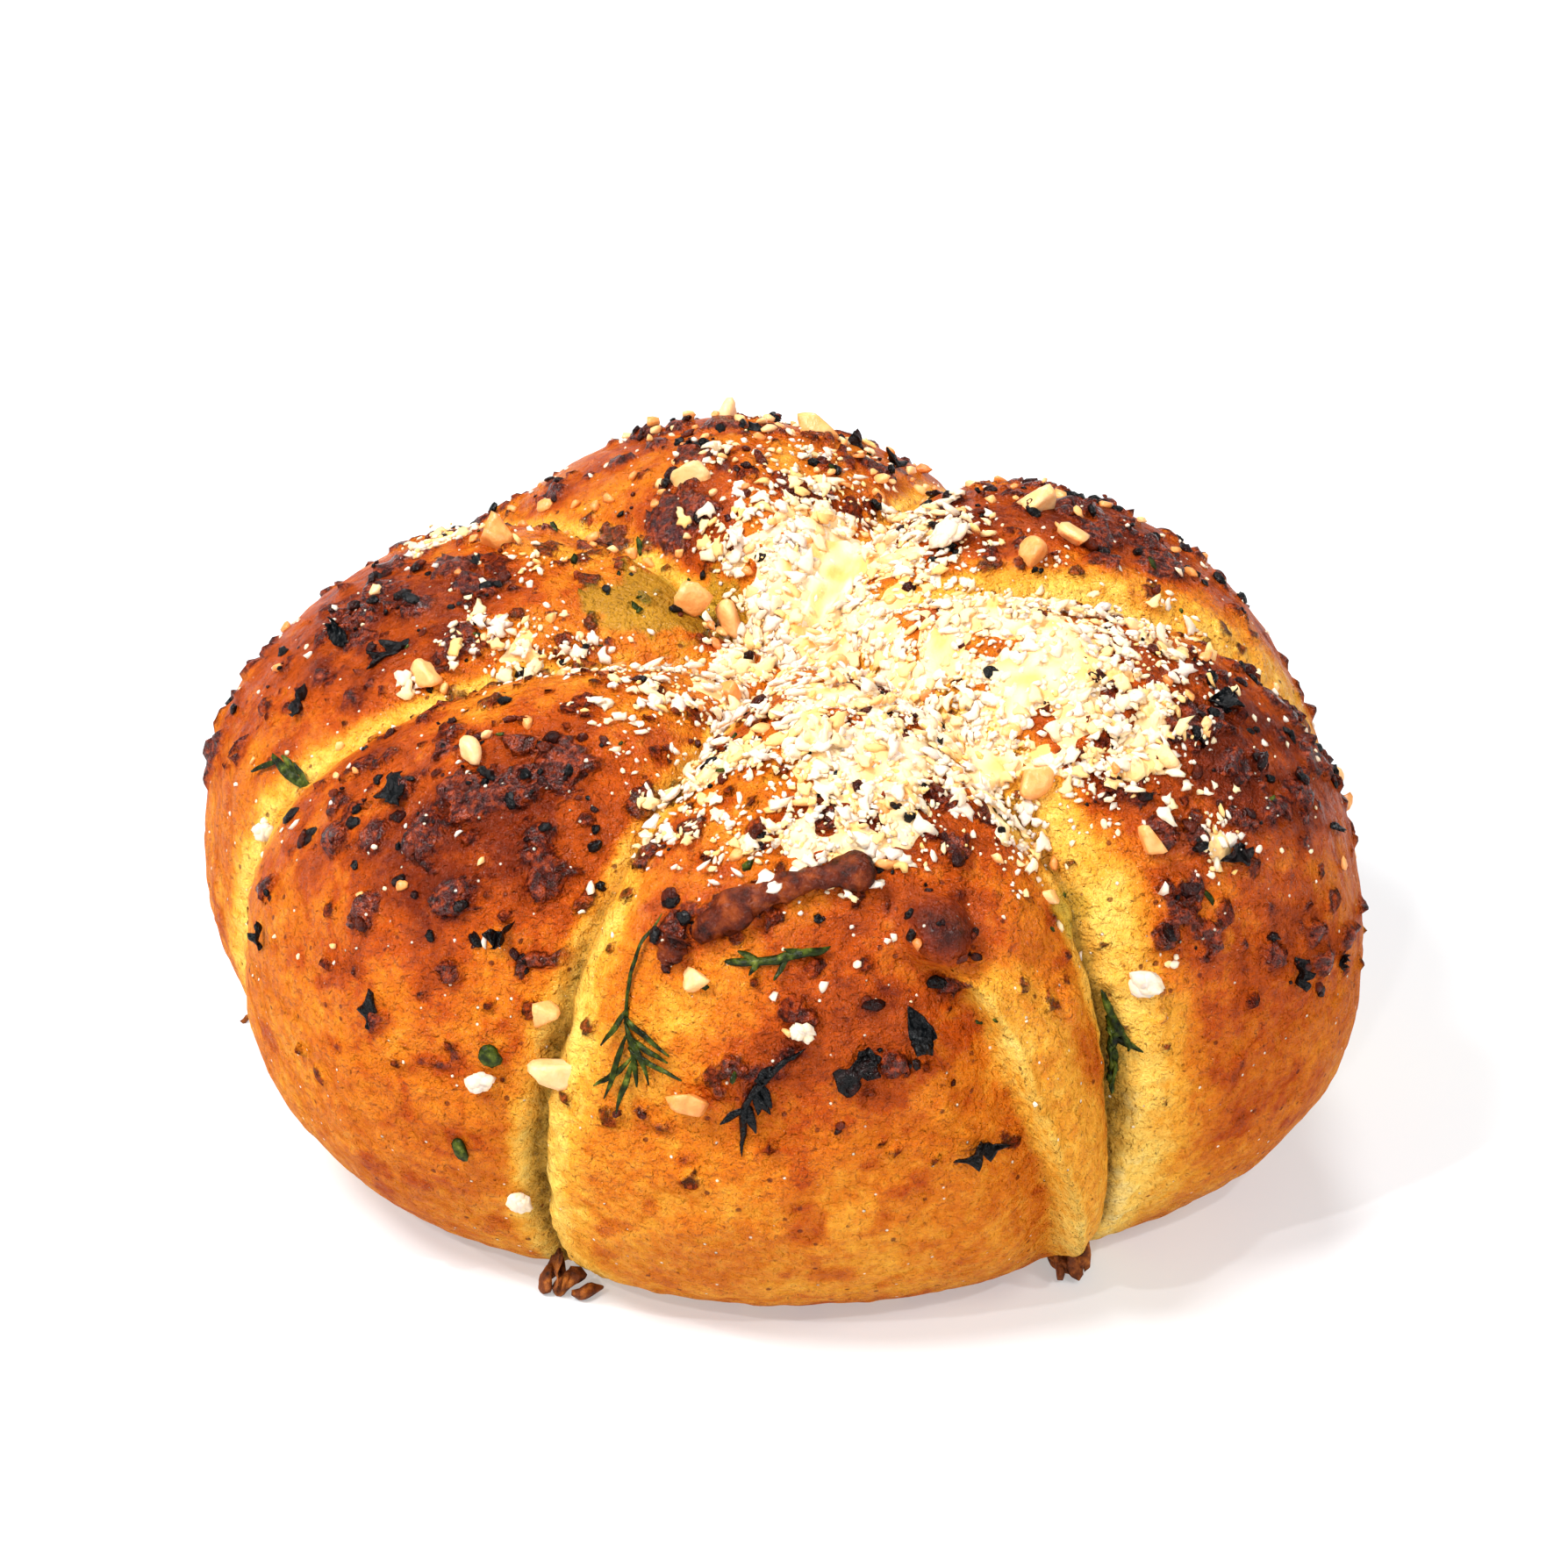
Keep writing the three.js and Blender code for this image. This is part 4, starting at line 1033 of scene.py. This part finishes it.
def curd_cluster(node, ground, shapes, look, count, seed):
    """A few curds that have run together."""
    seat = Seat(node)
    random = np.random.RandomState(seed)
    outlines, faces = shapes
    box = np.array([seat.length, seat.width, seat.height]) / 2
    points, all_faces = [], []
    for number in range(count):
        size = box * random.uniform(0.45, 0.75, 3)
        offset = (box - size) * random.uniform(-1, 1, 3)
        turn = np.array(Matrix.Rotation(random.uniform(0, 2 * np.pi), 3, "Z"))
        shape = (outlines[random.randint(len(outlines))] @ turn) * size + offset
        shape[:, 2] += 0.8 * box[2]
        points.append(shape)
        all_faces.append(faces + number * len(shape))
    points = ground.drape(seat, np.concatenate(points))
    return placed(node, points, np.concatenate(all_faces), look, random.uniform(0.3, 1, len(points)))


def nodes_named(prefix):
    return sorted(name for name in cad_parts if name.startswith(prefix))


# ---------- camera, floor and light

VIEW_ELEVATION = 28.5
VIEW_DISTANCE = 700.0
FRAME_WIDTH = 161.1  # what the picture's width takes in at the roll
AIM_HEIGHT = 30.0
AIM_RISE = 5.8  # how far above the aim point the picture's centre is
SENSOR = 36.0
FLOOR_HALF_SIZE = 3000.0
FLOOR_DROP = 0.02  # below the flat face, so that the two don't lie in one plane
FLOOR_GLOW = 0.33
WORLD_GLOW = 0.28

# Round lamps: azimuth, elevation, distance in m, size in m, power in W.
LAMPS = {
    "key": (210, 58, 1.3, 0.4, 16.4),
    "back": (85, 50, 1.3, 0.35, 8),
    "right": (335, 40, 1.2, 0.3, 3.5),
}
SPARKLES = [(262, 24), (228, 44), (300, 48), (175, 30)]  # azimuth and elevation of the small ones
SPARKLE = (1.2, 0.04, 3.2)


def make_camera():
    data = bpy.data.cameras.new("camera")
    data.sensor_width = SENSOR
    data.lens = SENSOR * VIEW_DISTANCE / FRAME_WIDTH
    data.clip_start = 0.01
    made = bpy.data.objects.new("camera", data)
    bpy.context.scene.collection.objects.link(made)
    tilt = math.radians(VIEW_ELEVATION)
    back = Vector((0, -math.cos(tilt), math.sin(tilt)))
    upward = Vector((0, math.sin(tilt), math.cos(tilt)))
    aim = Vector((0, 0, AIM_HEIGHT)) + upward * AIM_RISE
    spot = Vector((0, 0, AIM_HEIGHT)) + back * VIEW_DISTANCE
    made.location = spot * MM
    made.rotation_euler = (aim - spot).to_track_quat("-Z", "Y").to_euler()
    bpy.context.scene.camera = made


def make_floor():
    s = Shader("pale_floor", 0.6)
    s.set("Emission Color", (1, 1, 1, 1))
    s.set("Emission Strength", FLOOR_GLOW)
    material = s.finish(s.ramp(s.noise(400, 2), [(0.0, (190, 192, 194)), (1.0, (198, 200, 202))]))
    corners = FLOOR_HALF_SIZE * np.array([[-1, -1, 0], [1, -1, 0], [1, 1, 0], [-1, 1, 0]])
    floor = new_mesh("floor", corners - [0, 0, FLOOR_DROP], np.array([[0, 1, 2, 3]]), material)


def round_lamp(name, azimuth, elevation, distance, size, watts):
    data = bpy.data.lights.new(name, "AREA")
    data.shape = "DISK"
    data.size = size
    data.energy = watts
    made = bpy.data.objects.new(name, data)
    bpy.context.scene.collection.objects.link(made)
    spot = Vector(direction(azimuth, elevation)) * distance
    made.location = spot
    aim = Vector((0, 0, AIM_HEIGHT * MM))
    made.rotation_euler = (aim - spot).to_track_quat("-Z", "Y").to_euler()


def make_light():
    world = bpy.data.worlds.new("studio")
    world.use_nodes = True
    background = world.node_tree.nodes["Background"]
    background.inputs["Color"].default_value = (1, 1, 1, 1)
    background.inputs["Strength"].default_value = WORLD_GLOW
    bpy.context.scene.world = world
    for name, lamp in LAMPS.items():
        round_lamp(name, *lamp)
    for number, place in enumerate(SPARKLES):
        round_lamp("sparkle_%d" % number, *place, *SPARKLE)


# ---------- putting it together

bpy.context.scene.view_settings.view_transform = "Standard"
make_camera()
make_floor()
make_light()

points, faces, uvs, known = crust_surface()
crust = make_crust(points, faces, uvs, known)
ground = Ground(crust, points, faces, known)

elevation, azimuth, cheese = known["elevation"], known["azimuth"], known["cheese"]
top = smoothstep(-5, 35, elevation)

CHEESE = (cheese_material(), "cheese", False)
GARLIC = (garlic_material(), "garlic", True)
CHAR = (char_material(), "charred_leaf", False)
HERB = (herb_material(), "green_herb", False)
ONION = (onion_material(), "fried_onion", False)
CRUMB = (crumb_material(), "burnt_crumb", False)

# grated cheese: a bed, flakes in clumps where it is thick, and a thin dusting beyond it
cheese_bed(points, faces, known, CHEESE[0])
covered = np.clip(1.25 * (cheese - 0.04), 0, 1.1)
flakes = bit_shapes(24, 2, 0.18, 2.2, 0.5, 101, ragged=0.2)
curds = bit_shapes(12, 2, 0.14, 2.4, 0.3, 107, ragged=0.08)
shreds = bit_shapes(16, 1, 0.3, 2.2, 0.5, 102, ragged=0.12)
scatter("cheese_flakes", ground, 0.34 * covered**1.2, flakes, ((0.7, 0.6, 0.3), (2.2, 1.7, 0.75)),
        CHEESE, 201, sunk=0.15, layers=2.2, clump=5)
scatter("cheese_shreds", ground, 0.85 * covered, shreds, ((0.35, 0.3, 0.2), (1.4, 0.7, 0.5)),
        CHEESE, 202, sunk=0.15, layers=2.6, clump=4)
scatter("cheese_dusting", ground, 0.04 * top + 0.07 * (cheese > 0.08), shreds,
        ((0.3, 0.25, 0.2), (1.3, 0.8, 0.6)), CHEESE, 203, sunk=0.3, tint=(0.3, 1))

# garlic, burnt specks and herb flecks too small to have a place of their own
brown_side = smoothstep(0.45, 0.75, known["bake"]) + known["scab"]
back_top = hump(azimuth - 92, 45) * smoothstep(20, 40, elevation)
chips = chip_shapes(14, 3, 7, 103)
small_chips = chip_shapes(14, 2, 8, 105)
nubs = bit_shapes(12, 2, 0.25, 2.4, 0.2, 104)
scatter("garlic_chips", ground, 0.007 * top + 0.05 * back_top + 0.015 * (cheese > 0.2), small_chips,
        ((1.0, 0.8, 0.6), (2.8, 2.0, 1.3)), GARLIC, 204, sunk=0.2, tint=(0.1, 0.8))
scatter("burnt_specks", ground, 0.008 * top + 0.045 * brown_side * top, nubs,
        ((0.4, 0.35, 0.3), (2.1, 1.5, 0.9)), CHAR, 205, sunk=0.3, clump=2, tint=(0.1, 0.9))
scatter("herb_flecks", ground, 0.004 * top + 0.02 * (known["oil"] > 0.3), shreds,
        ((0.6, 0.4, 0.25), (2.2, 0.9, 0.4)), HERB, 206, sunk=0.3)

GOLDEN_SHARE = 0.618  # its multiples spread the tints evenly
for number, node in enumerate(nodes_named("garlic_bit")):
    chip(node, ground, chips, GARLIC, number, 0.1 + 0.6 * (number * GOLDEN_SHARE % 1))
for number, node in enumerate(nodes_named("cheese_lump")):
    curd_cluster(node, ground, curds, CHEESE, 8, 300 + number)
for number, node in enumerate(nodes_named("charred_leaf")):
    crumpled_leaf(node, ground, CHAR, 1.3, 320 + number, 0.1 + 0.35 * (number * GOLDEN_SHARE % 1))
sprig("herb_frond", ground, CHAR, 7, 0.42, 361, stem=0.32)
sprig("parsley_sprig", ground, HERB, 9, 0.26, 362, stem=0.17, highest=-0.2)
sprig("herb_strip", ground, HERB, 4, 0.26, 363, stem=0.4)
for number, node in enumerate(nodes_named("herb_curl")):
    sprig(node, ground, HERB, 4, 0.26, 364 + number, stem=0.4)
for node in nodes_named("herb_bit"):
    refined(node, ground, HERB, cuts=2, roughen=0.16, cell=0.4, sink=0.1, slim=0.15)
for number, node in enumerate(nodes_named("onion")):
    fried_strip(node, ground, ONION, 370 + number)
for number, node in enumerate(nodes_named("crumb")):
    fallen_shreds(node, CRUMB, 9, 380 + number)
crumpled_leaf("fallen_leaf", ground, CRUMB, 1.4, 345, 0.5)
